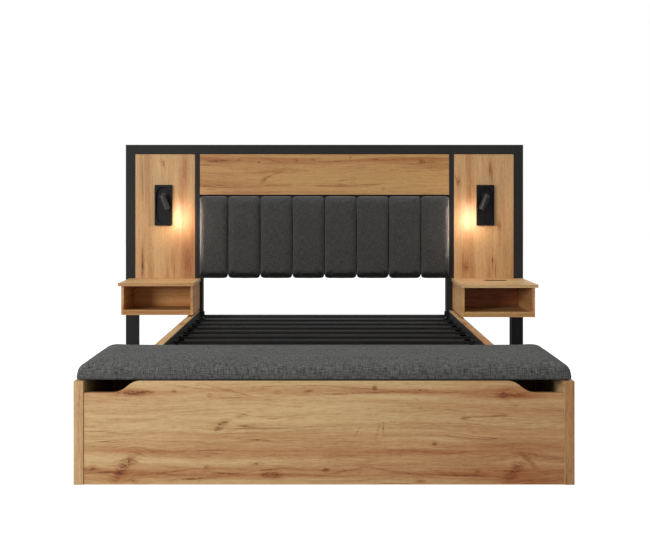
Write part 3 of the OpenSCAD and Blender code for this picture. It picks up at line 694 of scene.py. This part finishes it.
# The right side's front edge is printed in a darker tone as painted shade; the light comes from
# the left.
for side, tone in (("left", (0.94, 0.93, 0.96)), ("right", (0.73, 0.60, 0.51))):
    clad(["chest_side_" + side], "oak_chest_side_" + side, turn=ALONG_Y,
         shift=(0.4, 0.2, -0.9), sheet="oak_plain_sheet", edge=(1, turned(y=90, z=4), tone))
clad(["chest_back"], "oak_chest_back", shift=(1.4, 0, -CHEST_TOP), tone=INSIDE_TONE)
clad(["chest_floor"], "oak_insides", turn=LYING, shift=(0.2, 0.1, -0.9), tone=INSIDE_TONE)
clad(both("side_rail"), "oak_lengthways", turn=ALONG_Y, shift=(0.1, 0.3, -0.6))
clad(["nightstand_top_left"], "oak_nightstand_top_left", turn=LYING, shift=(2.3, 0.4, -1.2),
     sheet="oak_plain_sheet", tone=(0.92, 0.91, 0.85), edge=(1, (0, 0, 0), (0.80, 0.66, 0.55)))
clad(["nightstand_top_right"], "oak_nightstand_top_right", turn=LYING,
     shift=(0.3, 0.4, -1.2), sheet="oak_plain_sheet")
clad(both("nightstand_sides"), "oak_nightstand_sides", turn=ALONG_Y, shift=(0.1, 0.3, -0.6),
     tone=(0.93, 0.78, 0.63))
clad(both("nightstand_floor"), "oak_nightstand_fronts", shift=(0.9, 0, -0.585),
     tone=(0.84, 0.74, 0.58))
# The right nightstand's back is printed much darker than the left's as painted shade, where the
# stand's own left side keeps the light off.
for side, tone in (("left", (1.0, 0.72, 0.44)), ("right", (0.66, 0.34, 0.22))):
    clad(["nightstand_back_" + side], "oak_nightstand_back_" + side,
         shift=(0.9, 0, -0.6), tone=tone)

# The cover is pulled round the lid's board, which stays out of sight inside it.
WRAP = 0.012
WRAP_UNDER = 0.003
dress("lid_board", core_board,
      from_low=(WRAP, WRAP, WRAP_UNDER), from_high=(WRAP, WRAP, 0))
for side in ("left", "right"):
    dress("lamp_base_" + side, lamp_black, steps=3)
    dress("lamp_head_" + side, tube_black, edge=TUBE_EDGE, steps=3)
    coat("lamp_swivel_" + side, tube_black)
    coat("lamp_tilt_pin_" + side, zinc)
    coat("lamp_lens_" + side, warm_lens)
for material, nodes in (
        (black_plastic, ("floor_glides", "charging_insert", "slat_end_caps", "lid_bumpers")),
        (black_steel, ("slat_ledges", "centre_beam", "centre_legs", "rail_brackets",
                       "hinge_chest_leaves", "hinge_lid_leaves")),
        (zinc, ("rail_bolts", "hinge_pins"))):
    for node in nodes:
        coat(node, material)


# ------------------------ slats

def make_slat_tree():
    """A row of slats with rounded edges, a pitch apart along Y."""
    net, given, out = new_shape_tree("slat_row", {
        "Count": 12, "Pitch": 0.16, "First": (0, 0, 0), "Length": 1.6, "Width": 0.08,
        "Thickness": 0.018, "Edge radius": 0.004})
    half = net.times(given["Length"], 0.5)
    spine = net.add("GeometryNodeCurvePrimitiveLine", {
        "Start": net.join(net.times(half, -1.0), 0.0, 0.0),
        "End": net.join(half, 0.0, 0.0)}).outputs[0]
    outline = net.add("GeometryNodeCurvePrimitiveQuadrilateral", {
        "Width": given["Width"], "Height": given["Thickness"]}).outputs[0]
    rounded = net.add("GeometryNodeFilletCurve", {
        "Curve": outline, "Count": 4, "Radius": given["Edge radius"]}, mode="POLY").outputs[0]
    slat = net.add("GeometryNodeCurveToMesh", {
        "Curve": spine, "Profile Curve": rounded, "Fill Caps": True}).outputs[0]
    row = net.add("GeometryNodeMeshLine", {
        "Count": given["Count"], "Start Location": given["First"],
        "Offset": net.join(0.0, given["Pitch"], 0.0)}).outputs[0]
    return net.plant(out, row, slat, given["Finish"])


def grown(name, tree, values, mesh=None):
    """The plain mesh that a geometry tree makes from its named inputs."""
    piece = new_piece(name, mesh or bpy.data.meshes.new(name))
    modifier = piece.modifiers.new(tree.name, "NODES")
    modifier.node_group = tree
    for socket in tree.interface.items_tree:
        if socket.in_out == "INPUT" and socket.name in values:
            modifier[socket.identifier] = values[socket.name]
    piece.data.update()
    return settle(piece)


def separate_spans(node, axis):
    """The stretches that a node's loose solids take along one axis, from low to high."""
    shape = merged(node)
    spans = []
    left = set(shape.verts)
    while left:
        solid, edge = set(), [left.pop()]
        while edge:
            vertex = edge.pop()
            solid.add(vertex)
            for link in vertex.link_edges:
                other = link.other_vert(vertex)
                if other in left:
                    left.remove(other)
                    edge.append(other)
        levels = [vertex.co[axis] for vertex in solid]
        spans.append((min(levels), max(levels)))
    shape.free()
    return sorted(spans)


SLAT_IN_CAP = 0.012
SLAT_ROUND = 0.0045
slat_low, slat_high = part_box("slats")
slat_spans = separate_spans("slats", 1)
slat_middles = [(low + high) / 2 for low, high in slat_spans]
slats = grown("sprung_slats", make_slat_tree(), {
    "Count": len(slat_spans),
    "Pitch": (slat_spans[-1][0] - slat_spans[0][0]) / (len(slat_spans) - 1),
    "First": Vector((
        (slat_low.x + slat_high.x) / 2, slat_middles[0], (slat_low.z + slat_high.z) / 2)),
    "Length": slat_high.x - slat_low.x - 2 * SLAT_IN_CAP,
    "Width": slat_spans[0][1] - slat_spans[0][0],
    "Thickness": slat_high.z - slat_low.z,
    "Edge radius": SLAT_ROUND,
    "Finish": black_slat})
hand_over(slats, "slats", ["slats"])


# ------------------------ screws and cam locks

def make_fastener_tree():
    """Round heads with a sunk socket, one on each point, facing the point's own way."""
    net, given, out = new_shape_tree("fastener_heads", {
        "Radius": 0.004, "Height": 0.001, "Shoulder": 0.0004, "Crown share": 0.82,
        "Socket share": 0.5, "Socket depth": 0.0008, "Seed": 7})
    drum = net.add("GeometryNodeMeshCylinder", {
        "Vertices": 12, "Radius": given["Radius"], "Depth": given["Height"]})
    crown = net.add("GeometryNodeExtrudeMesh", {
        "Mesh": drum.outputs["Mesh"], "Selection": drum.outputs["Top"],
        "Offset Scale": given["Shoulder"]})
    narrowed = net.add("GeometryNodeScaleElements", {
        "Geometry": crown.outputs["Mesh"], "Selection": crown.outputs["Top"],
        "Scale": given["Crown share"]})
    brim = net.add("GeometryNodeExtrudeMesh", {
        "Mesh": narrowed.outputs[0], "Selection": crown.outputs["Top"], "Offset Scale": 0.0})
    mouth = net.add("GeometryNodeScaleElements", {
        "Geometry": brim.outputs["Mesh"], "Selection": brim.outputs["Top"],
        "Scale": given["Socket share"]})
    socket = net.add("GeometryNodeExtrudeMesh", {
        "Mesh": mouth.outputs[0], "Selection": brim.outputs["Top"],
        "Offset Scale": net.times(given["Socket depth"], -1.0)})
    head = net.add("GeometryNodeTransform", {
        "Geometry": socket.outputs["Mesh"], "Translation": net.join(
            0.0, 0.0, net.times(given["Height"], 0.5))}).outputs[0]
    facing = net.add("GeometryNodeInputNamedAttribute", {
        "Name": "facing"}, data_type="FLOAT_VECTOR").outputs["Attribute"]
    aimed = net.add("FunctionNodeAlignRotationToVector", {
        "Vector": facing}, axis="Z").outputs[0]
    spin = net.add("FunctionNodeRandomValue", {
        0: (0, 0, 0), 1: (0, 0, math.pi), "Seed": given["Seed"]},
        data_type="FLOAT_VECTOR").outputs[0]
    rotation = net.add("FunctionNodeRotateRotation", {
        "Rotation": aimed, "Rotate By": spin}, rotation_space="LOCAL").outputs[0]
    return net.plant(out, given["Geometry"], head, given["Finish"], Rotation=rotation)


fastener_tree = make_fastener_tree()


def fasten(name, node, places, facing, sizes, finish=zinc):
    """Heads of one kind on a node, at the places; facing is one direction, or one for each."""
    mesh = bpy.data.meshes.new(name)
    mesh.from_pydata(places, [], [])
    ways = facing if isinstance(facing, list) else [facing] * len(places)
    stored = mesh.attributes.new("facing", "FLOAT_VECTOR", "POINT")
    stored.data.foreach_set("vector", [part for way in ways for part in way])
    hand_over(grown(name, fastener_tree, {"Finish": finish, **sizes}, mesh), node)


WOOD_SCREW = {"Radius": 0.0045, "Height": 0.0006}
CAM_LOCK = {"Radius": 0.0075, "Height": 0.0003, "Shoulder": 0.0003, "Crown share": 0.92,
            "Socket share": 0.45, "Socket depth": 0.0005}
BACKWARD = (0, 1, 0)
FORWARD = (0, -1, 0)
DOWNWARD = (0, 0, -1)

leaf_low, leaf_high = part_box("hinge_chest_leaves")
HINGE_LONG = 0.1
HINGE_LEAF = 0.002
HINGE_SCREW_SPREAD = 0.035
HINGE_SCREW_RISE = 0.0145
HINGE_SCREW_DEPTH = 0.0095
hinge_middles = [leaf_low.x + HINGE_LONG / 2, 0.0, leaf_high.x - HINGE_LONG / 2]
hinge_screws = [middle + step * HINGE_SCREW_SPREAD
                for middle in hinge_middles for step in (-1, 0, 1)]
fasten("hinge_screws_on_chest", "hinge_chest_leaves",
       [(x, leaf_low.y + HINGE_LEAF, leaf_low.z + HINGE_SCREW_RISE) for x in hinge_screws],
       BACKWARD, WOOD_SCREW)
lid_leaf_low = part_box("hinge_lid_leaves")[0]
fasten("hinge_screws_on_lid", "hinge_lid_leaves",
       [(x, lid_leaf_low.y + HINGE_SCREW_DEPTH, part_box("lid_cushion")[0].z - HINGE_LEAF)
        for x in hinge_screws], DOWNWARD, WOOD_SCREW)

rail_low, rail_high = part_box("pad_cross_rails")
bay_low, bay_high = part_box("bay_rails")
RAIL_HALF = 0.04
rear_screws = [(share * rail_high.x, rail_high.y, z)
               for z in (rail_low.z + RAIL_HALF, rail_high.z - RAIL_HALF)
               for share in (-0.92, -0.46, 0.0, 0.46, 0.92)]
post_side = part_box("post_inner_right")[1].x
rear_screws += [(side * (post_side + share * (bay_high.x - post_side)), bay_high.y,
                 bay_low.z + RAIL_HALF) for side in (-1, 1) for share in (0.15, 0.85)]
fasten("panel_screws", "pad_cross_rails", rear_screws, BACKWARD, WOOD_SCREW)

CAM_LEVELS = (0.08, 0.2, 0.3)
CAM_INSET = 0.028
CAM_FROM_FRONT = 0.06
low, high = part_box("chest_floor")
chest_cams = [((x, y, z), way) for y, way in ((low.y, BACKWARD), (high.y, FORWARD))
              for x in (low.x + CAM_INSET, high.x - CAM_INSET) for z in CAM_LEVELS]
fasten("chest_cam_locks", "chest_front", [place for place, way in chest_cams],
       [way for place, way in chest_cams], CAM_LOCK)
shelf_cams = []
for side in ("left", "right"):
    low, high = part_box("nightstand_floor_" + side)
    shelf_cams += [(x, y, low.z) for x in (low.x + CAM_INSET, high.x - CAM_INSET)
                   for y in (low.y + CAM_FROM_FRONT, high.y - CAM_FROM_FRONT)]
fasten("nightstand_cam_locks", "nightstand_floor_left", shelf_cams, DOWNWARD, CAM_LOCK)

ledge_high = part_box("slat_ledges")[1]
LEDGE_THICK = 0.003
LEDGE_SCREW_DROP = 0.014
every_other_gap = list(zip(slat_middles, slat_middles[1:]))[::2]
ledge_screws = [
    (side * (ledge_high.x - LEDGE_THICK), (before + after) / 2, ledge_high.z - LEDGE_SCREW_DROP)
    for side in (-1, 1) for before, after in every_other_gap]
fasten("ledge_screws", "slat_ledges", ledge_screws,
       [(-math.copysign(1, place[0]), 0, 0) for place in ledge_screws], WOOD_SCREW,
       black_steel)


# ------------------------ upholstery

def ring(width, length, radius, level, steps=8):
    """Outline of a rectangle with round corners, at one level."""
    points = []
    for corner in range(4):
        middle_x = (width / 2 - radius) * (1 if corner in (0, 3) else -1)
        middle_y = (length / 2 - radius) * (1 if corner < 2 else -1)
        for step in range(steps + 1):
            angle = math.radians(90 * (corner + step / steps))
            points.append(Vector((middle_x + radius * math.cos(angle),
                                  middle_y + radius * math.sin(angle), level)))
    return points


def skin(name, rings):
    """Closed mesh over a stack of outlines of the same count."""
    shape = bmesh.new()
    rows = [[shape.verts.new(point) for point in outline] for outline in rings]
    count = len(rows[0])
    for low, high in zip(rows, rows[1:]):
        for i in range(count):
            j = (i + 1) % count
            shape.faces.new((low[i], low[j], high[j], high[i]))
    shape.faces.new(list(reversed(rows[0])))
    shape.faces.new(rows[-1])
    mesh = bpy.data.meshes.new(name)
    shape.to_mesh(mesh)
    shape.free()
    return mesh


def voxelled(name, mesh, cell):
    """The same form in even cells, fine enough for cloth."""
    piece = new_piece(name, mesh)
    tune(piece.modifiers.new("cells", "REMESH"), mode="VOXEL", voxel_size=cell)
    return settle(piece)


def tighten(pieces, held, frames=20, pressure=4.0):
    """Blows the pieces up under their covers; held tells which corners are stapled down."""
    rest = {piece.name: [vertex.co.copy() for vertex in piece.data.vertices]
            for piece in pieces}
    for piece in pieces:
        pins = piece.vertex_groups.new(name="stapled")
        pins.add([i for i, point in enumerate(rest[piece.name]) if held(point)],
                 1.0, "REPLACE")
        cloth = piece.modifiers.new("cover", "CLOTH")
        tune(cloth.settings, vertex_group_mass="stapled", use_pressure=True,
             uniform_pressure_force=pressure, quality=4)
        cloth.settings.effector_weights.gravity = 0
        tune(cloth.point_cache, frame_start=1, frame_end=frames)
    for number in range(1, frames + 1):
        scene.frame_set(number)
    for piece in pieces:
        settle(piece)
    scene.frame_set(1)
    return rest


def limit(piece, rest, reach, low, high):
    """Keeps each corner within reach of where it was and inside a box."""
    for vertex, start in zip(piece.data.vertices, rest[piece.name]):
        step = vertex.co - start
        if step.length > reach:
            step *= reach / step.length
        point = start + step
        vertex.co = Vector([min(max(point[i], low[i]), high[i]) for i in range(3)])


def fill_room(piece, low, high):
    """Stretches a piece so that it reaches each side of a box."""
    corners = [vertex.co for vertex in piece.data.vertices]
    for axis in range(3):
        least = min(corner[axis] for corner in corners)
        most = max(corner[axis] for corner in corners)
        factor = (high[axis] - low[axis]) / (most - least)
        for corner in corners:
            corner[axis] = low[axis] + (corner[axis] - least) * factor


def round_corners(piece, low, high, radius):
    """Keeps a piece inside the round corners of its outline, seen from the front."""
    for vertex in piece.data.vertices:
        x = min(max(vertex.co.x, low.x + radius), high.x - radius)
        z = min(max(vertex.co.z, low.z + radius), high.z - radius)
        out = Vector((vertex.co.x - x, vertex.co.z - z))
        if out.length > radius:
            out *= radius / out.length
            vertex.co.x, vertex.co.z = x + out.x, z + out.y


def finish_soft(piece, material, node, low, high, corner=0.0):
    """Smooths a tightened piece and hands it over in place of its CAD solid."""
    piece.vertex_groups.clear()
    tune(piece.modifiers.new("even", "SMOOTH"), factor=0.5, iterations=3)
    tune(piece.modifiers.new("fine", "SUBSURF"), levels=1, render_levels=1)
    settle(piece)
    fill_room(piece, low, high)
    if corner:
        round_corners(piece, low, high, corner)
    piece.data.shade_smooth()
    piece.data.materials.clear()
    piece.data.materials.append(material)
    hand_over(piece, node, [node])


PAD_CELL = 0.0065
PAD_DRAW_IN = 0.0016
PAD_REACH = 0.004
PAD_GAP = Vector((0.0006, 0.0, 0.0))
PAD_FIRMNESS = 1.5
PAD_ROLL = 0.06
PAD_ROLL_SHARE = 0.8
PAD_CORNER = 0.018
PAD_STAPLED = 0.006


def firm_up(piece, low, high, power):
    """Presses a bulging front out flatter, so that its edges turn more tightly."""
    depth = high.y - low.y
    for vertex in piece.data.vertices:
        share = min(max((vertex.co.y - low.y) / depth, 0.0), 1.0)
        vertex.co.y = low.y + depth * share ** power


def roll_under(piece, low, high, reach, share):
    """Draws the lower edge of a front back in a round roll that takes a share of its depth."""
    for vertex in piece.data.vertices:
        climb = (vertex.co.z - low.z) / reach
        if climb < 1.0:
            drawn = share * (1 - math.sqrt(max(1 - (1 - climb) ** 2, 0.0)))
            vertex.co.y += drawn * (high.y - vertex.co.y)


pad_names = ["channel_pad_%d" % number for number in range(1, 9)]
pad_pieces = []
for node in pad_names:
    low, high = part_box(node)
    middle, half = (low + high) / 2, (high - low) / 2
    mesh = plain_mesh(node)
    for vertex in mesh.vertices:
        offset = vertex.co - middle
        vertex.co = middle + Vector([
            offset[i] * (1 - PAD_DRAW_IN / half[i]) for i in range(3)])
    pad_pieces.append(voxelled(node + "_cover", mesh, PAD_CELL))
pad_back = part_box(pad_names[0])[1].y
pad_rest = tighten(pad_pieces, lambda point: point.y > pad_back - PAD_STAPLED)
for piece, node in zip(pad_pieces, pad_names):
    low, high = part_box(node)
    limit(piece, pad_rest, PAD_REACH, low, high)
    firm_up(piece, low, high, PAD_FIRMNESS)
    roll_under(piece, low, high, PAD_ROLL, PAD_ROLL_SHARE)
    finish_soft(piece, fabric_pad, node, low + PAD_GAP, high - PAD_GAP, PAD_CORNER)

LID_BELLY = 0.018
LID_TUCK = 0.004
LID_EDGE = 0.034
LID_CROWN = 0.008
LID_FULL_ENDS = 0.3
LID_CORNER = 0.016
LID_CELL = 0.009
LID_REACH = 0.005
LID_STAPLED = 0.008
COVER_THICK = 0.0005
lid_low, lid_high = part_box("lid_cushion")
lid_size = lid_high - lid_low
lid_middle = (lid_low + lid_high) / 2
shoulder = lid_size.z - LID_CROWN


def lid_ring(inset, level):
    """An outline of the lid; its ends stand fuller than its front and back."""
    spare = lid_size.y / 2 - inset
    end_inset = inset - LID_FULL_ENDS * min(inset, LID_EDGE)
    return ring(lid_size.x - 2 * end_inset, lid_size.y - 2 * inset,
                min(LID_CORNER + 0.3 * inset, spare * 0.9), level)


lid_rings = [lid_ring(LID_TUCK, 0.0), lid_ring(LID_TUCK * 0.5, LID_BELLY * 0.3)]
for turn in range(0, 91, 10):
    angle = math.radians(turn)
    lid_rings.append(lid_ring(
        LID_EDGE * (1 - math.cos(angle)),
        LID_BELLY + (shoulder - LID_BELLY) * math.sin(angle)))
for share in (0.15, 0.3, 0.5, 0.7, 0.9):
    lid_rings.append(lid_ring(
        LID_EDGE + share * (lid_size.y / 2 - LID_EDGE),
        shoulder + LID_CROWN * math.sin(math.radians(90 * share)) - 0.001))
lid_mesh = skin("lid_cover", lid_rings)
lid_mesh.transform(Matrix.Translation((lid_middle.x, lid_middle.y, lid_low.z)))
lid_piece = voxelled("lid_cover", lid_mesh, LID_CELL)
lid_rest = tighten([lid_piece], lambda point: point.z < lid_low.z + LID_STAPLED)
limit(lid_piece, lid_rest, LID_REACH, lid_low, lid_high)
finish_soft(lid_piece, fabric_lid, "lid_cushion",
            lid_low - Vector((0.0, 0.0, COVER_THICK)), lid_high)


def make_staple_tree():
    """Staples a pitch apart along an outline, lying in line with it."""
    net, given, out = new_shape_tree("staple_row", {
        "Pitch": 0.04, "Crown": 0.011, "Wire": 0.0012, "Rise": 0.0005})
    path = net.add("GeometryNodeMeshToCurve", {"Mesh": given["Geometry"]}).outputs[0]
    spots = net.add("GeometryNodeCurveToPoints", {
        "Curve": path, "Length": given["Pitch"]}, mode="LENGTH").outputs
    staple = net.add("GeometryNodeMeshCube", {"Size": net.join(
        given["Wire"], given["Rise"], given["Crown"])}).outputs[0]
    return net.plant(
        out, spots["Points"], staple, given["Finish"], Rotation=spots["Rotation"])


LINING_INSET = 0.046
LINING_THICK = 0.0003
LINING_DROP = 0.0009
LINING_CORNER = 0.012
STAPLE_INSET = 0.012
STAPLE_CORNER = 0.004
lining_size = Vector((lid_size.x - 2 * LINING_INSET, lid_size.y - 2 * LINING_INSET))
lining_level = lid_low.z - LINING_DROP
to_lid = Matrix.Translation((lid_middle.x, lid_middle.y, 0.0))
lining_mesh = skin("lid_lining", [
    ring(lining_size.x, lining_size.y, LINING_CORNER, lining_level + rise)
    for rise in (0.0, LINING_THICK)])
lining_mesh.transform(to_lid)
hand_over(new_piece("lid_lining", lining_mesh, lining), "lid_board")
staple_path = bpy.data.meshes.new("lid_staples")
staple_line = ring(lining_size.x - 2 * STAPLE_INSET, lining_size.y - 2 * STAPLE_INSET,
                   STAPLE_CORNER, lining_level, steps=2)
staple_path.from_pydata(
    staple_line, [(i, (i + 1) % len(staple_line)) for i in range(len(staple_line))], [])
staple_path.transform(to_lid)
hand_over(grown("lid_staples", make_staple_tree(), {"Finish": zinc}, staple_path),
          "lid_board")


# ------------------------ floor, light and camera

def make_floor():
    """Pale floor that the camera sees as white, with the bed's shadow on it."""
    reach = 14.0
    mesh = bpy.data.meshes.new("studio_floor")
    mesh.from_pydata([(-reach, -reach, 0), (reach, -reach, 0), (reach, reach, 0),
                      (-reach, reach, 0)], [], [(0, 1, 2, 3)])
    material, net, shader = new_material("studio_floor", Roughness=0.9)
    shader["Specular IOR Level"].default_value = 0.0
    coordinate = net.add("ShaderNodeTexCoord").outputs["Object"]
    cloud = net.noise(coordinate, (0.6, 0.6, 0.6), detail=2)
    net.feed(shader["Base Color"], net.mix(
        cloud, (0.46, 0.46, 0.46, 1), (0.5, 0.5, 0.5, 1)))
    seen = net.add("ShaderNodeLightPath").outputs["Is Camera Ray"]
    shader["Emission Color"].default_value = (1, 1, 1, 1)
    net.feed(shader["Emission Strength"], net.times(seen, 0.9))
    new_piece("studio_floor", mesh, material)


def make_world():
    """White where it is looked at or mirrored, and a plain soft light otherwise."""
    world = bpy.data.worlds.new("studio")
    scene.world = world
    world.use_nodes = True
    net = Net(world.node_tree)
    path = net.add("ShaderNodeLightPath").outputs
    direct = net.math("MAXIMUM", path["Is Camera Ray"], net.math(
        "MAXIMUM", path["Is Glossy Ray"], path["Is Transmission Ray"]))
    background = world.node_tree.nodes["Background"]
    background.inputs["Color"].default_value = (1, 1, 1, 1)
    soft_light = 0.3
    net.feed(background.inputs["Strength"], net.scaled(direct, 1 - soft_light, soft_light))


def add_lamp(name, kind, place, aim, power, **settings):
    lamp = stand(name, tune(bpy.data.lights.new(name, kind), energy=power, **settings))
    lamp.location = place
    lamp.rotation_euler = (Vector(aim) - Vector(place)).to_track_quat("-Z", "Y").to_euler()
    return lamp


def hide(lamp):
    """Keeps a lamp itself out of the picture and out of the gloss."""
    tune(lamp, visible_camera=False, visible_glossy=False)


make_floor()
make_world()
add_lamp("key_light", "AREA", (-4.6, -4.8, 2.1), (0, -0.4, 0.5), 268,
         shape="SQUARE", size=2.0)
add_lamp("fill_light", "AREA", (3.8, -4.6, 2.4), (0, 0, 0.6), 20, shape="SQUARE", size=3.0,
         color=(1.0, 0.8, 0.6))
add_lamp("top_light", "AREA", (0, -0.8, 4.6), (0, 0, 0), 85, shape="SQUARE", size=3.4)

pad_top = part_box("channel_pad_1")[1].z
hide(add_lamp("pad_top_light", "AREA", (0, 1.13, pad_top + 0.045), (0, 1.13, 0), 0.25,
              shape="RECTANGLE", size=1.6, size_y=0.03, color=(0.78, 0.9, 1.0)))

LAMP_WHITE = (0.75, 0.74, 1.0)
LAMP_WARM = (1.0, 0.74, 0.58)
LAMP_ROSE = (1.0, 0.82, 0.72)
POOL_ASIDE, POOL_BEFORE, POOL_DROP = 0.103, -0.03, -0.078
RIM_ASIDE, RIM_BEFORE, RIM_DROP = 0.07, -0.022, -0.15
for side in ("left", "right"):
    base_low, base_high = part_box("lamp_base_" + side)
    toward_bed = -1 if base_low.x > 0 else 1
    middle = (base_low + base_high) / 2
    beside = middle + Vector((POOL_ASIDE * toward_bed, POOL_BEFORE, POOL_DROP))
    pad_edge = Vector((-toward_bed * (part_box("channel_pad_8")[1].x + RIM_ASIDE),
                       base_low.y + RIM_BEFORE, middle.z + RIM_DROP))
    lamps = [
        add_lamp("reading_glow_" + side, "AREA", beside, beside + Vector((0, 1, 0)), 0.12,
                 color=LAMP_WHITE, shape="ELLIPSE", size=0.06, size_y=0.19),
        add_lamp("reading_spill_" + side, "POINT", beside - Vector((0, 0.07, 0.03)), beside,
                 1.3, color=LAMP_WARM, shadow_soft_size=0.03),
        add_lamp("reading_rim_" + side, "AREA", pad_edge,
                 pad_edge + Vector((toward_bed, 0, 0)), 0.5, color=LAMP_ROSE,
                 shape="ELLIPSE", size=0.02, size_y=0.4, spread=math.radians(70))]
    for lamp in lamps:
        hide(lamp)
        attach(lamp, body_of("lamp_lens_" + side))

camera = stand("camera", tune(
    bpy.data.cameras.new("camera"), lens=47.02, sensor_width=36.0, shift_y=-0.1232))
camera.location = (0.0035, -4.363, 1.054)
camera.rotation_euler = turned(x=90)
scene.camera = camera

scene.view_settings.view_transform = "Standard"
